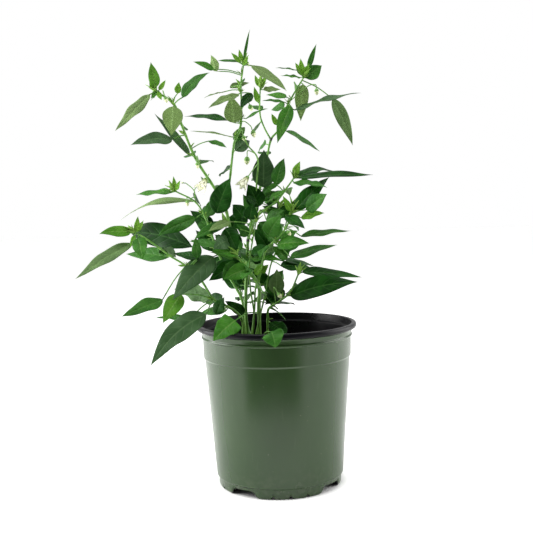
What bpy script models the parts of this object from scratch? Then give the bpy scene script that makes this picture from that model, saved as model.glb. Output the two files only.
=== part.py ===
"""A young chilli plant in a nursery pot, standing on the pot's base.

Run it in Blender 4.5: blender --background --python part.py
The frame is metres, +Z up. The origin is the centre of the pot's underside.
The tables below hold millimetres and degrees; MM turns them into metres.
Headings are compass angles in the ground plane: 0 is +X, 90 is +Y, and -90 is the front.
"""

from dataclasses import dataclass
from math import cos, pi, radians, sin

import bmesh
import bpy
from mathutils import Matrix, Vector

MM = 0.001
GAP = 0.35 * MM  # kept between pieces that touch

# The pot: a thin shell with a rolled lip.
POT_HEIGHT = 167.7 * MM
LIP_RADIUS = 82.6 * MM
LIP_INNER_RADIUS = 77.8 * MM
COLLAR_RADIUS = 76.5 * MM  # the straight band under the lip
SHOULDER_HEIGHT = 133.0 * MM  # where the band steps in to the body
SHOULDER_RADIUS = 74.5 * MM
ANKLE_HEIGHT = 11.5 * MM  # where the body steps in to the foot
ANKLE_RADIUS = 65.5 * MM
FOOT_RADIUS = 63.5 * MM
WALL = 1.3 * MM
FLOOR_RAISE = 6.0 * MM  # the floor stands this high between the pad and the foot
PAD_RADIUS = 34.0 * MM  # the flat middle that the pot also stands on
ROUND_STEPS = 48

# Openings round the foot: wide drainage arches, with three small notches between two of them.
ARCHES = 4
FIRST_ARCH = -36.0  # heading from the front, towards +X
ARCH_WIDTH = 32.0 * MM
ARCH_HEIGHT = 7.4 * MM
ARCH_DEPTH = 16.0 * MM
NOTCH_SPREAD = 16.0
NOTCH_WIDTH = 4.0 * MM
NOTCH_HEIGHT = 3.0 * MM
NOTCH_DEPTH = 12.0 * MM
CUTTER_OVERHANG = 1.5 * MM  # how far a cutter's middle stands outside the foot

# The soil: loose-filled, low in the pot.
SOIL_TOP = 140.0 * MM
SOIL_HEAP = 3.0 * MM  # how much higher it is round the stems

# The plant's shared sizes.
LEAF_THICKNESS = 0.8 * MM
STALK_RADIUS = 0.65 * MM
TIP_RADIUS = 0.3 * MM
BLADE_LIFT = 0.18  # how steeply a blade's halves rise from its midrib
FLOWER_RADIUS = 6.0 * MM
PATH_STEPS = 4  # steps between two points of a cane


@dataclass(frozen=True)
class Cane:
    """A stem or branch: its points in millimetres, from its foot, and its radii at both ends."""

    points: tuple
    foot: float
    tip: float
    grows_from: str = ""


@dataclass(frozen=True)
class Leaf:
    """A leaf: where on its cane it starts, how its stalk goes, then its blade.

    way is (heading, rise) in degrees. face turns the upper side from straight up (0) to the front (90).
    sag is how much the blade's rise drops from its base to its tip.
    """

    along: float
    stalk: float
    stalk_way: tuple
    length: float
    width: float
    way: tuple
    face: float
    sag: float = 15
    blunt: bool = False


@dataclass(frozen=True)
class Flower:
    """A nodding flower: where on its cane its stalk starts, and the points that the stalk bends through."""

    cane: str
    along: float
    bends: tuple


CANES = {
    "cane_left_leader": Cane(
        ((-18, -2, 144), (-18, -4, 185), (-18, -6, 209), (-37, -12, 233), (-41, -14, 241),
         (-47, -20, 286), (-57, -26, 309), (-73, -32, 338), (-86, -36, 370), (-93, -38, 391),
         (-110, -40, 403)),
        foot=1.9, tip=0.8),
    "cane_right_leader": Cane(
        ((-30, 10, 144), (-32, 12, 183), (-29, 16, 232), (-27, 18, 258), (-18, 22, 292),
         (-7, 28, 333), (-1, 32, 358), (7, 32, 368), (17, 34, 393), (35, 34, 422)),
        foot=2.0, tip=0.8),
    "cane_back_left": Cane(
        ((-37, 16, 144), (-35, 20, 185), (-48, 30, 212), (-63, 38, 244), (-67, 40, 258),
         (-73, 44, 275), (-84, 48, 294), (-105, 50, 306)),
        foot=1.5, tip=0.8),
    "branch_centre": Cane(
        ((-47, -20, 286), (-43, -14, 320), (-38, -8, 355), (-32, -6, 367), (-30, -4, 386),
         (-30, -2, 412), (-27, 0, 432)),
        foot=1.3, tip=0.8, grows_from="cane_left_leader"),
    "branch_inner_right": Cane(
        ((-1, 32, 358), (-8, 37, 372), (-12, 40, 387), (-11, 44, 414)),
        foot=0.9, tip=0.7, grows_from="cane_right_leader"),
    "branch_cross": Cane(
        ((-18, 22, 292), (-17, 10, 312), (-15, 0, 337), (-24, -5, 350), (-28, -6, 358)),
        foot=1.0, tip=0.7, grows_from="cane_right_leader"),
    "branch_right": Cane(
        ((-28, 17, 253), (-17, 10, 278), (3, 0, 293), (15, -6, 308), (21, -8, 316)),
        foot=1.2, tip=0.8, grows_from="cane_right_leader"),
    "branch_low_left": Cane(
        ((-34, -12, 144), (-36, -14, 175), (-53, -24, 191), (-63, -28, 197), (-75, -34, 218),
         (-90, -38, 233), (-103, -40, 242), (-126, -44, 260), (-136, -46, 266)),
        foot=1.5, tip=0.8),
    "branch_low_right": Cane(
        ((-10, 6, 144), (-9, 2, 171), (-8, -2, 182), (-1, -8, 188), (14, -18, 200),
         (23, -24, 219)),
        foot=1.4, tip=0.8),
    "branch_front_right": Cane(
        ((-18, -6, 209), (-13, -14, 230), (-8, -20, 246), (6, -30, 259), (15, -36, 273),
         (18, -38, 281)),
        foot=1.1, tip=0.8, grows_from="cane_left_leader"),
}

LEAVES = {
    "cane_left_leader": (
        Leaf(1.00, 5, (-120, 75), 24, 11, (-120, 73), face=80, sag=5),
        Leaf(1.00, 8, (-160, -20), 50, 14, (-150, -43), face=45, sag=20),
        Leaf(0.93, 5, (40, 30), 52, 14, (36, 39), face=40, sag=25),
        Leaf(0.82, 14, (-175, -20), 45, 15, (-145, -5), face=50),
        Leaf(0.77, 5, (150, 20), 54, 16, (154, 48), face=20),
        Leaf(0.92, 5, (-80, 0), 30, 20, (-60, -70), face=-80),
        Leaf(0.53, 10, (-172, -25), 40, 22, (-38, 61), face=85),
        Leaf(0.48, 5, (-150, -10), 44, 14, (-134, -18), face=45),
        Leaf(0.37, 20, (-150, -10), 70, 28, (-132, -36), face=65),
        Leaf(0.33, 6, (-100, 0), 34, 16, (-120, -27), face=70),
        Leaf(0.12, 60, (-112, 0), 33, 22, (-135, -29), face=60, blunt=True),
        Leaf(0.01, 86, (-81, 16), 17, 20, (-70, -56), face=80, sag=30, blunt=True),
    ),
    "branch_centre": (
        Leaf(1.00, 6, (10, 85), 31, 5, (16, 77), face=80, sag=0),
        Leaf(1.00, 9, (-15, 0), 49, 14, (-30, -34), face=35, sag=30),
        Leaf(0.60, 6, (-130, 10), 26, 15, (-105, 80), face=-80),
    ),
    "cane_right_leader": (
        Leaf(1.00, 5, (10, 20), 26, 16, (24, 42), face=70),
        Leaf(0.98, 6, (60, -15), 40, 15, (102, -69), face=-75),
        Leaf(0.88, 9, (0, -20), 74, 16, (-21, 11), face=15, sag=25),
        Leaf(0.99, 40, (20, -29), 54, 15, (16, -66), face=60),
        Leaf(0.89, 5, (-55, -20), 49, 15, (-122, -55), face=80),
        Leaf(0.80, 10, (25, -23), 51, 14, (40, -24), face=40),
        Leaf(0.57, 9, (-65, 0), 40, 23, (-83, 73), face=90),
    ),
    "cane_back_left": (
        Leaf(1.00, 5, (180, 0), 46, 14, (155, 0), face=30),
        Leaf(0.87, 6, (125, 10), 103, 20, (151, -10), face=10, sag=45),
        Leaf(0.64, 25, (169, -17), 86, 28, (152, 8), face=75, sag=25),
        Leaf(0.79, 10, (-170, -27), 46, 17, (-158, -22), face=65),
    ),
    "branch_low_left": (
        Leaf(1.00, 5, (-157, 18), 33, 13, (-147, 0), face=60),
        Leaf(0.98, 5, (-90, -30), 27, 15, (-69, -50), face=85),
        Leaf(0.76, 5, (130, -10), 54, 18, (149, 2), face=50),
        Leaf(1.00, 11, (-161, -56), 70, 18, (-138, -27), face=40, sag=25),
        Leaf(0.40, 5, (150, 20), 43, 19, (153, 6), face=-65),
        Leaf(0.66, 42, (-142, -45), 47, 16, (-142, -15), face=50),
        Leaf(0.40, 34, (-150, 12), 36, 19, (-122, -41), face=75),
        Leaf(0.40, 22, (-107, -42), 85, 22, (-132, -28), face=70, sag=25),
    ),
    "branch_right": (
        Leaf(0.80, 12, (154, 42), 31, 14, (52, 61), face=70),
        Leaf(1.00, 7, (62, 13), 58, 16, (42, 9), face=20, sag=60),
        Leaf(1.00, 5, (-22, 0), 76, 17, (-15, 0), face=20, sag=10),
    ),
    "branch_front_right": (
        Leaf(1.00, 5, (0, 45), 49, 17, (21, 38), face=65),
        Leaf(1.00, 14, (-17, 17), 30, 14, (-42, 27), face=60),
        Leaf(0.82, 18, (9, -30), 56, 14, (23, 3), face=25),
        Leaf(0.60, 5, (-35, -45), 42, 16, (-42, 3), face=60),
        Leaf(0.61, 9, (-158, 35), 33, 18, (-58, 38), face=80),
        Leaf(0.58, 25, (18, -39), 64, 14, (37, 12), face=30),
    ),
    "branch_low_right": (
        Leaf(1.00, 5, (0, 45), 66, 18, (18, -4), face=30),
        Leaf(0.75, 5, (-30, 12), 83, 22, (-23, 10), face=60, sag=20),
        Leaf(0.27, 5, (-50, -20), 28, 16, (-57, -19), face=45, blunt=True),
    ),
}

FLOWERS = {
    "flower_left": Flower("cane_left_leader", 0.68, ((-70, -36, 333), (-68, -40, 322))),
    "flower_centre": Flower("branch_cross", 0.60, ((-22, -6, 330), (-27, -9, 322))),
}


def clear_scene():
    """Remove everything that the new file came with."""
    for obj in list(bpy.data.objects):
        bpy.data.objects.remove(obj, do_unlink=True)


def new_collection(name, hidden=False):
    """A collection of the scene; a hidden one holds cutters."""
    made = bpy.data.collections.new(name)
    bpy.context.scene.collection.children.link(made)
    made.hide_render = hidden
    return made


def new_material(name, colour, roughness, metallic=0.0):
    """A plain Principled material."""
    made = bpy.data.materials.new(name)
    made.use_nodes = True
    shader = made.node_tree.nodes["Principled BSDF"]
    shader.inputs["Base Color"].default_value = (*colour, 1)
    shader.inputs["Roughness"].default_value = roughness
    shader.inputs["Metallic"].default_value = metallic
    made.diffuse_color = (*colour, 1)
    return made


def new_object(name, data, collection, material=None):
    """An object that holds data, in the collection."""
    made = bpy.data.objects.new(name, data)
    collection.objects.link(made)
    if material is not None:
        data.materials.append(material)
    return made


def direction(way):
    """The unit vector of a (heading, rise) pair in degrees."""
    heading, rise = radians(way[0]), radians(way[1])
    return Vector((cos(heading) * cos(rise), sin(heading) * cos(rise), sin(rise)))


def smooth_path(points, steps=PATH_STEPS):
    """Points on a Catmull-Rom curve through the given points."""
    ends = [2 * points[0] - points[1], *points, 2 * points[-1] - points[-2]]
    path = []
    for before, start, end, after in zip(ends, ends[1:], ends[2:], ends[3:]):
        for step in range(steps):
            t = step / steps
            path.append(0.5 * (2 * start + (end - before) * t
                               + (2 * before - 5 * start + 4 * end - after) * t ** 2
                               + (3 * start - before - 3 * end + after) * t ** 3))
    return [*path, points[-1]]


def point_along(path, share):
    """The point at that share of a path's length."""
    lengths = [(b - a).length for a, b in zip(path, path[1:])]
    left = share * sum(lengths)
    for start, end, length in zip(path, path[1:], lengths):
        if left <= length:
            return start.lerp(end, left / length)
        left -= length
    return path[-1].copy()


def distance_to_path(point, path):
    """The least distance from a point to a path."""
    least = (point - path[0]).length
    for start, end in zip(path, path[1:]):
        step = end - start
        share = max(0.0, min(1.0, (point - start).dot(step) / step.length_squared))
        least = min(least, (point - start - share * step).length)
    return least


def trimmed(path, obstacle, clearance, fine=0.25 * MM):
    """The path from where it first stands that far off the obstacle path."""
    lengths = sum((b - a).length for a, b in zip(path, path[1:]))
    share = 0.0
    while distance_to_path(point_along(path, share), obstacle) < clearance:
        share += fine / lengths
    start = point_along(path, share)
    walked, kept = 0.0, [start]
    for before, after in zip(path, path[1:]):
        walked += (after - before).length
        if walked > share * lengths + fine:
            kept.append(after)
    return kept


def loft(name, rings, collection, material):
    """One closed mesh through rings of equally many points, with flat ends."""
    mesh = bmesh.new()
    loops = [[mesh.verts.new(point) for point in ring] for ring in rings]
    for here, there in zip(loops, loops[1:]):
        for i, corner in enumerate(here):
            j = (i + 1) % len(here)
            mesh.faces.new((corner, here[j], there[j], there[i]))
    mesh.faces.new(reversed(loops[0]))
    mesh.faces.new(loops[-1])
    bmesh.ops.recalc_face_normals(mesh, faces=mesh.faces)
    data = bpy.data.meshes.new(name)
    mesh.to_mesh(data)
    mesh.free()
    data.shade_smooth()
    return new_object(name, data, collection, material)


def turned(name, profile, collection, material, steps=ROUND_STEPS):
    """A body turned round Z from its closed profile of (radius, height) pairs."""
    data = bpy.data.meshes.new(name)
    corners = [(radius, 0, height) for radius, height in profile]
    edges = [(i, i + 1) for i in range(len(corners) - 1)]
    data.from_pydata(corners, edges, [])
    made = new_object(name, data, collection, material)
    screw = made.modifiers.new("Turn", "SCREW")
    screw.steps = screw.render_steps = steps
    screw.use_merge_vertices = True
    screw.merge_threshold = 0.00005
    screw.use_smooth_shade = True
    return made


def wall_radius(height):
    """The radius of the pot's outside between its foot step and its shoulder."""
    share = (height - ANKLE_HEIGHT) / (SHOULDER_HEIGHT - ANKLE_HEIGHT)
    return ANKLE_RADIUS + share * (SHOULDER_RADIUS - ANKLE_RADIUS)


def pot_profile():
    """The pot's half section, from the lip's inner edge round the outside and back up the inside."""
    top, lip, collar = POT_HEIGHT, LIP_RADIUS, COLLAR_RADIUS
    bead = top - 12.6 * MM
    lip_outside = [
        (LIP_INNER_RADIUS + 0.9 * MM, top), (lip - 1.6 * MM, top), (lip - 0.4 * MM, top - 1.1 * MM),
        (lip, top - 3.0 * MM), (lip - 0.6 * MM, top - 5.6 * MM), (lip - 2.6 * MM, top - 7.6 * MM),
        (collar + 1.0 * MM, top - 9.0 * MM),
    ]
    band_outside = [
        (collar + 0.6 * MM, bead + 1.2 * MM), (collar + 1.5 * MM, bead + 0.5 * MM),
        (collar + 1.5 * MM, bead - 0.5 * MM), (collar + 0.1 * MM, bead - 1.5 * MM),
        (collar, SHOULDER_HEIGHT + 2.6 * MM),
    ]
    body_outside = [
        (SHOULDER_RADIUS, SHOULDER_HEIGHT), (ANKLE_RADIUS, ANKLE_HEIGHT),
        (FOOT_RADIUS + 0.2 * MM, ANKLE_HEIGHT - 1.8 * MM), (FOOT_RADIUS - 0.3 * MM, 2.4 * MM),
        (FOOT_RADIUS - 1.0 * MM, 0.6 * MM), (FOOT_RADIUS - 1.7 * MM, 0.0),
    ]
    underside = [
        (FOOT_RADIUS - 3.2 * MM, 0.0), (FOOT_RADIUS - 3.6 * MM, FLOOR_RAISE),
        (PAD_RADIUS + 1.0 * MM, FLOOR_RAISE), (PAD_RADIUS, 0.0), (0.0, 0.0),
    ]
    inside = [
        (0.0, WALL), (PAD_RADIUS - WALL, WALL), (PAD_RADIUS - WALL, FLOOR_RAISE + WALL),
        (FOOT_RADIUS - 2.0 * MM, FLOOR_RAISE + WALL),
        (ANKLE_RADIUS - WALL, ANKLE_HEIGHT + 0.4 * MM),
        (SHOULDER_RADIUS - WALL, SHOULDER_HEIGHT + 0.4 * MM),
        (collar - WALL, SHOULDER_HEIGHT + 3.0 * MM), (collar - WALL, top - 9.4 * MM),
        (LIP_INNER_RADIUS - 0.4 * MM, top - 7.4 * MM), (LIP_INNER_RADIUS, top - 1.0 * MM),
    ]
    outline = [*lip_outside, *band_outside, *body_outside, *underside, *inside]
    return [*outline, outline[0]]


def foot_cutter(name, size, heading, collection):
    """An eight-sided cutter of (width, height, depth) along a radius of the foot, half below the ground."""
    width, height, depth = size
    bpy.ops.mesh.primitive_cylinder_add(vertices=8, radius=0.5, depth=1.0)
    made = bpy.context.object
    made.name = name
    made.data.transform(Matrix.Rotation(pi / 8, 4, "Z"))
    angle = radians(heading - 90)
    middle = FOOT_RADIUS + CUTTER_OVERHANG
    made.location = (middle * cos(angle), middle * sin(angle), 0)
    made.rotation_euler = (0, pi / 2, angle)
    made.scale = (2 * height, width, depth)
    for owner in list(made.users_collection):
        owner.objects.unlink(made)
    collection.objects.link(made)
    made.display_type = "WIRE"
    made.hide_render = True
    return made


def cut(obj, cutter):
    """Take the cutter's shape out of the object."""
    boolean = obj.modifiers.new(cutter.name, "BOOLEAN")
    boolean.operation = "DIFFERENCE"
    boolean.solver = "EXACT"
    boolean.object = cutter


def build_pot(parts, cutters):
    """The nursery pot, with its arches and notches."""
    plastic = new_material("pot_plastic", (0.075, 0.13, 0.06), 0.38)
    pot = turned("pot", pot_profile(), parts, plastic)
    spacing = 360 / ARCHES
    for i in range(ARCHES):
        heading = FIRST_ARCH + i * spacing
        arch = (ARCH_WIDTH, ARCH_HEIGHT, ARCH_DEPTH)
        cut(pot, foot_cutter(f"arch_cutter_{i}", arch, heading, cutters))
        for side in (-1, 0, 1):
            turn = heading + spacing / 2 + side * NOTCH_SPREAD
            notch = (NOTCH_WIDTH, NOTCH_HEIGHT, NOTCH_DEPTH)
            cut(pot, foot_cutter(f"notch_cutter_{i}_{side + 1}", notch, turn, cutters))
    return pot


def build_soil(parts):
    """The soil, a fill that stands a little off the pot's inside all round."""
    loam = new_material("soil_loam", (0.05, 0.032, 0.022), 0.95)
    inset = WALL + GAP
    low = FLOOR_RAISE + WALL + GAP
    top_radius = SHOULDER_RADIUS - inset
    profile = [
        (0.0, SOIL_TOP + SOIL_HEAP), (20 * MM, SOIL_TOP + 0.7 * SOIL_HEAP), (45 * MM, SOIL_TOP),
        (COLLAR_RADIUS - inset - 3 * MM, SOIL_TOP - 1.0 * MM),
        (COLLAR_RADIUS - inset - 0.2 * MM, SOIL_TOP - 2.5 * MM),
        (COLLAR_RADIUS - inset - 0.2 * MM, SHOULDER_HEIGHT + 3.2 * MM),
        (top_radius - 0.2 * MM, SHOULDER_HEIGHT), (wall_radius(22 * MM) - inset, 22 * MM),
        (FOOT_RADIUS - 10 * MM, low), (PAD_RADIUS + 1 * MM, low), (0.0, low),
    ]
    return turned("soil", profile, parts, loam, steps=32)


def cane_paths():
    """Each cane's smooth path in metres, and its radius at both ends."""
    paths = {}
    for name, cane in CANES.items():
        points = [Vector(point) * MM for point in cane.points]
        path = smooth_path(points)
        if cane.grows_from:
            parent = paths[cane.grows_from][0]
            parent_radius = CANES[cane.grows_from].foot * MM
            path = trimmed(path, parent, parent_radius + cane.foot * MM + GAP)
        paths[name] = (path, cane.foot * MM, cane.tip * MM)
    return paths


def radius_at(share, foot, tip):
    """A cane's radius at a share of its length."""
    return foot + share * (tip - foot)


def build_cane(name, path, foot, tip, parts, material):
    """A cane as a curve with a round bevel that tapers to its tip."""
    data = bpy.data.curves.new(name, "CURVE")
    data.dimensions = "3D"
    data.bevel_depth = 1.0
    data.bevel_resolution = 1
    data.use_fill_caps = True
    spline = data.splines.new("POLY")
    spline.points.add(len(path) - 1)
    for i, (knot, point) in enumerate(zip(spline.points, path)):
        knot.co = (*point, 1)
        knot.radius = radius_at(i / (len(path) - 1), foot, tip)
    return new_object(name, data, parts, material)


def leaf_path(leaf, start):
    """The leaf's stalk end and the points of its midrib."""
    base = start + direction(leaf.stalk_way) * leaf.stalk * MM
    heading, rise = leaf.way
    parts, midrib, point = 8, [base], base
    for i in range(parts):
        drop = leaf.sag * ((i + 0.5) / parts - 0.5)
        point = point + direction((heading, rise - drop)) * leaf.length * MM / parts
        midrib.append(point)
    return base, midrib


def half_width(share, leaf):
    """Half the blade's width at a share of its length: rounded at its base, drawn out to its tip."""
    base_power, tip_power = (0.45, 0.6) if leaf.blunt else (0.6, 1.15)
    widest = base_power / (base_power + tip_power)
    full = widest ** base_power * (1 - widest) ** tip_power
    shape = share ** base_power * (1 - share) ** tip_power / full
    return leaf.width * MM / 2 * shape


def build_leaf(name, leaf, start, cane_path, cane_radius, parts, material):
    """A leaf as one loft: a thin stalk that opens into a blade with a shallow fold."""
    base, midrib = leaf_path(leaf, start)
    clearance = cane_radius + STALK_RADIUS + GAP
    stalk = trimmed([start, start.lerp(base, 0.5), base], cane_path, clearance)[:-1]
    spine = [*stalk, *midrib]
    facing = Vector((0, -sin(radians(leaf.face)), cos(radians(leaf.face))))
    rings = []
    for i, point in enumerate(spine):
        ahead = spine[min(i + 1, len(spine) - 1)] - spine[max(i - 1, 0)]
        side = ahead.cross(facing).normalized()
        normal = side.cross(ahead).normalized()
        share = (i - len(stalk)) / (len(midrib) - 1)
        wide = STALK_RADIUS if share <= 0 else max(TIP_RADIUS, half_width(share, leaf))
        thick = STALK_RADIUS if share <= 0 else LEAF_THICKNESS / 2
        lift = 0.0 if share <= 0 else wide * BLADE_LIFT
        rings.append([
            point - side * wide + normal * lift, point - normal * thick,
            point + side * wide + normal * lift, point + normal * thick,
        ])
    return loft(name, rings, parts, material)


def build_flower(name, flower, paths, parts, material):
    """A nodding flower as one loft: an arched stalk, a small calyx and an open bell."""
    path, foot, tip = paths[flower.cane]
    start = point_along(path, flower.along)
    radius = radius_at(flower.along, foot, tip)
    arch = [start, *(Vector(point) * MM for point in flower.bends)]
    stalk = trimmed(smooth_path(arch, 3), path, radius + STALK_RADIUS + GAP)
    way = (stalk[-1] - stalk[-2]).normalized()
    head = [(1.0 * MM, 1.6 * MM), (3.0 * MM, 2.2 * MM), (6.0 * MM, FLOWER_RADIUS * 0.8),
            (8.0 * MM, FLOWER_RADIUS), (8.6 * MM, FLOWER_RADIUS * 0.96), (7.2 * MM, 1.2 * MM)]
    spine = [(point, STALK_RADIUS) for point in stalk]
    spine += [(stalk[-1] + way * out, wide) for out, wide in head]
    rings = []
    for i, (point, wide) in enumerate(spine):
        ahead = way if i >= len(stalk) else stalk[min(i + 1, len(stalk) - 1)] - stalk[max(i - 1, 0)]
        side = ahead.cross(Vector((0, 1, 0))).normalized()
        normal = side.cross(ahead).normalized()
        turns = [2 * pi * k / 8 for k in range(8)]
        rings.append([point + wide * (side * cos(a) + normal * sin(a)) for a in turns])
    return loft(name, rings, parts, material)


def main():
    """Build the pot, the soil and the plant."""
    clear_scene()
    parts = new_collection("potted_chilli_plant")
    cutters = new_collection("cutters", hidden=True)
    build_pot(parts, cutters)
    build_soil(parts)
    stem_green = new_material("stem_green", (0.16, 0.32, 0.07), 0.5)
    leaf_green = new_material("leaf_green", (0.05, 0.16, 0.03), 0.42)
    petal_white = new_material("petal_white", (0.8, 0.8, 0.7), 0.55)
    paths = cane_paths()
    for name, (path, foot, tip) in paths.items():
        build_cane(name, path, foot, tip, parts, stem_green)
    for cane, leaves in LEAVES.items():
        path, foot, tip = paths[cane]
        group = cane.split("_", 1)[1]
        for number, leaf in enumerate(leaves, start=1):
            start = point_along(path, leaf.along)
            radius = radius_at(leaf.along, foot, tip)
            build_leaf(f"leaf_{group}_{number}", leaf, start, path, radius, parts, leaf_green)
    for name, flower in FLOWERS.items():
        build_flower(name, flower, paths, parts, petal_white)


main()
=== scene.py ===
"""The looks of a young chilli plant in a nursery pot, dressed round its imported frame.

The frame is metres, +Z up, with the origin at the centre of the pot's underside.
The layout tables hold millimetres and degrees, and MM turns them into metres.
Headings are compass angles in the ground plane: 0 is +X, 90 is +Y, and -90 is the front.
"""

import logging
import random
from dataclasses import dataclass, field
from enum import Enum
from math import cos, exp, pi, radians, sin, sqrt

import bmesh
import bpy
from mathutils import Matrix, Vector, noise


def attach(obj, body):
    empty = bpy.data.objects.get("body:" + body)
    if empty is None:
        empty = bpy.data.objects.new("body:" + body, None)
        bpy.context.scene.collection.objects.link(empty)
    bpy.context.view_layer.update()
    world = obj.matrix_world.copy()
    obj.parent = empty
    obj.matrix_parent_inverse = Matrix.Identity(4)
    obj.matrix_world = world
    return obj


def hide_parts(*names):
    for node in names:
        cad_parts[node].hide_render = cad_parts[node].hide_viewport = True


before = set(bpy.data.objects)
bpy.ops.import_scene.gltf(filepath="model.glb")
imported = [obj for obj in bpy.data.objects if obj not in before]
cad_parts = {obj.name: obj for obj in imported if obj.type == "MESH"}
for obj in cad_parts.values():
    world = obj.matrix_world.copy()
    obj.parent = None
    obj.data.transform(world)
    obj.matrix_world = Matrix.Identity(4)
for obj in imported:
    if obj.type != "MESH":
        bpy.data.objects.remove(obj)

MM = 0.001
BODY = "root"
Colour = tuple[float, float, float]
Way = tuple[float, float]
log = logging.getLogger("potted_chilli_plant")


# ---- lines in space


def direction(way: Way) -> Vector:
    """Turn a way into a unit vector.

    Args:
        way: The heading and the rise, in degrees.

    Returns:
        The unit vector.
    """
    heading, rise = radians(way[0]), radians(way[1])
    return Vector((cos(heading) * cos(rise), sin(heading) * cos(rise), sin(rise)))


class Route:
    """A line through points, read by the share of its length."""

    def __init__(self, points: list[Vector]) -> None:
        """Keep the points and how far along each one is.

        Args:
            points: The line's points, in order.
        """
        self.points = points
        self.marks = [0.0]
        for start, end in zip(points, points[1:]):
            self.marks.append(self.marks[-1] + (end - start).length)
        self.length = self.marks[-1]

    @classmethod
    def through(cls, knots: list[Vector], steps: int = 8) -> "Route":
        """Draw a Catmull-Rom curve through the knots.

        Args:
            knots: The points that the curve passes.
            steps: The number of steps between two knots.

        Returns:
            The route.
        """
        ends = [2 * knots[0] - knots[1], *knots, 2 * knots[-1] - knots[-2]]
        made = []
        for before, start, end, after in zip(ends, ends[1:], ends[2:], ends[3:]):
            for step in range(steps):
                t = step / steps
                made.append(0.5 * (2 * start + (end - before) * t
                                   + (2 * before - 5 * start + 4 * end - after) * t ** 2
                                   + (3 * start - before - 3 * end + after) * t ** 3))
        return cls([*made, knots[-1]])

    def at(self, share: float) -> Vector:
        """Find a place on the line.

        Args:
            share: How far along, from 0 to 1.

        Returns:
            The point there.
        """
        wanted = share * self.length
        for i, mark in enumerate(self.marks[1:]):
            if wanted <= mark:
                step = mark - self.marks[i]
                return self.points[i].lerp(self.points[i + 1], (wanted - self.marks[i]) / step)
        return self.points[-1].copy()

    def ahead(self, share: float) -> Vector:
        """The unit direction at that share of the length."""
        reach = 0.02
        return (self.at(min(1.0, share + reach)) - self.at(max(0.0, share - reach))).normalized()


# ---- meshes and pieces


def new_object(name: str, data: bpy.types.Mesh, materials: list[bpy.types.Material]) -> bpy.types.Object:
    """Put a mesh into the scene.

    Args:
        name: The piece's name.
        data: Its mesh.
        materials: Its material slots, in order; none leaves the mesh's own.

    Returns:
        The new object.
    """
    made = bpy.data.objects.new(name, data)
    bpy.context.scene.collection.objects.link(made)
    for material in materials:
        data.materials.append(material)
    return made


def finished(mesh: bmesh.types.BMesh, name: str, sharp: float = 180.0) -> bpy.types.Mesh:
    """Turn a working mesh into smooth data with its faces outwards.

    Args:
        mesh: The working mesh, which is freed.
        name: The new data's name.
        sharp: The angle in degrees past which an edge stays sharp.

    Returns:
        The mesh data.
    """
    bmesh.ops.remove_doubles(mesh, verts=mesh.verts, dist=0.000001)
    bmesh.ops.recalc_face_normals(mesh, faces=mesh.faces)
    data = bpy.data.meshes.new(name)
    mesh.to_mesh(data)
    mesh.free()
    data.shade_smooth()
    if sharp < 180.0:
        data.set_sharp_from_angle(angle=radians(sharp))
    return data


def evaluated(made: bpy.types.Object) -> bpy.types.Object:
    """Apply every modifier of an object.

    Args:
        made: The object, which keeps its name.

    Returns:
        The same object, with plain data and no modifiers.
    """
    graph = bpy.context.evaluated_depsgraph_get()
    data = bpy.data.meshes.new_from_object(made.evaluated_get(graph))
    made.modifiers.clear()
    made.data = data
    return made


def ring_loft(mesh: bmesh.types.BMesh, rings: list[list[Vector]]) -> list[list[bmesh.types.BMFace]]:
    """Skin rings of equally many points, and close both ends.

    Args:
        mesh: The working mesh to add to.
        rings: The rings, from one end to the other.

    Returns:
        The side faces, ring by ring.
    """
    loops = [[mesh.verts.new(point) for point in ring] for ring in rings]
    bands = []
    for here, there in zip(loops, loops[1:]):
        band = []
        for i, corner in enumerate(here):
            j = (i + 1) % len(here)
            band.append(mesh.faces.new((corner, here[j], there[j], there[i])))
        bands.append(band)
    mesh.faces.new(reversed(loops[0]))
    mesh.faces.new(loops[-1])
    return bands


def round_rings(route: Route, radii: list[float], sides: int = 8) -> list[list[Vector]]:
    """Rings round a route for a tube that changes its thickness.

    Args:
        route: The tube's middle line.
        radii: The radius at each of the route's points.
        sides: The number of points in a ring.

    Returns:
        The rings.
    """
    rings = []
    last = len(route.points) - 1
    side = route.ahead(0).orthogonal().normalized()
    for i, (point, radius) in enumerate(zip(route.points, radii)):
        ahead = (route.points[min(i + 1, last)] - route.points[max(i - 1, 0)]).normalized()
        side = (side - ahead * side.dot(ahead)).normalized()
        up = ahead.cross(side)
        turns = [2 * pi * k / sides for k in range(sides)]
        rings.append([point + radius * (side * cos(a) + up * sin(a)) for a in turns])
    return rings


@dataclass
class Crew:
    """Hands every finished piece to the frame, and tells the log."""

    count: int = 0

    def hand_in(self, made: bpy.types.Object, slot: str, *stands_for: str) -> bpy.types.Object:
        """Register a finished piece.

        Args:
            made: The piece, at the origin.
            slot: The material slot of its finish; not used.
            stands_for: The CAD nodes that it replaces.

        Returns:
            The piece.
        """
        if stands_for:
            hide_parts(*stands_for)
        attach(made, BODY)
        self.count += 1
        log.info("piece %s: %d faces", made.name, len(made.data.polygons))
        return made


# ---- material nodes


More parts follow.
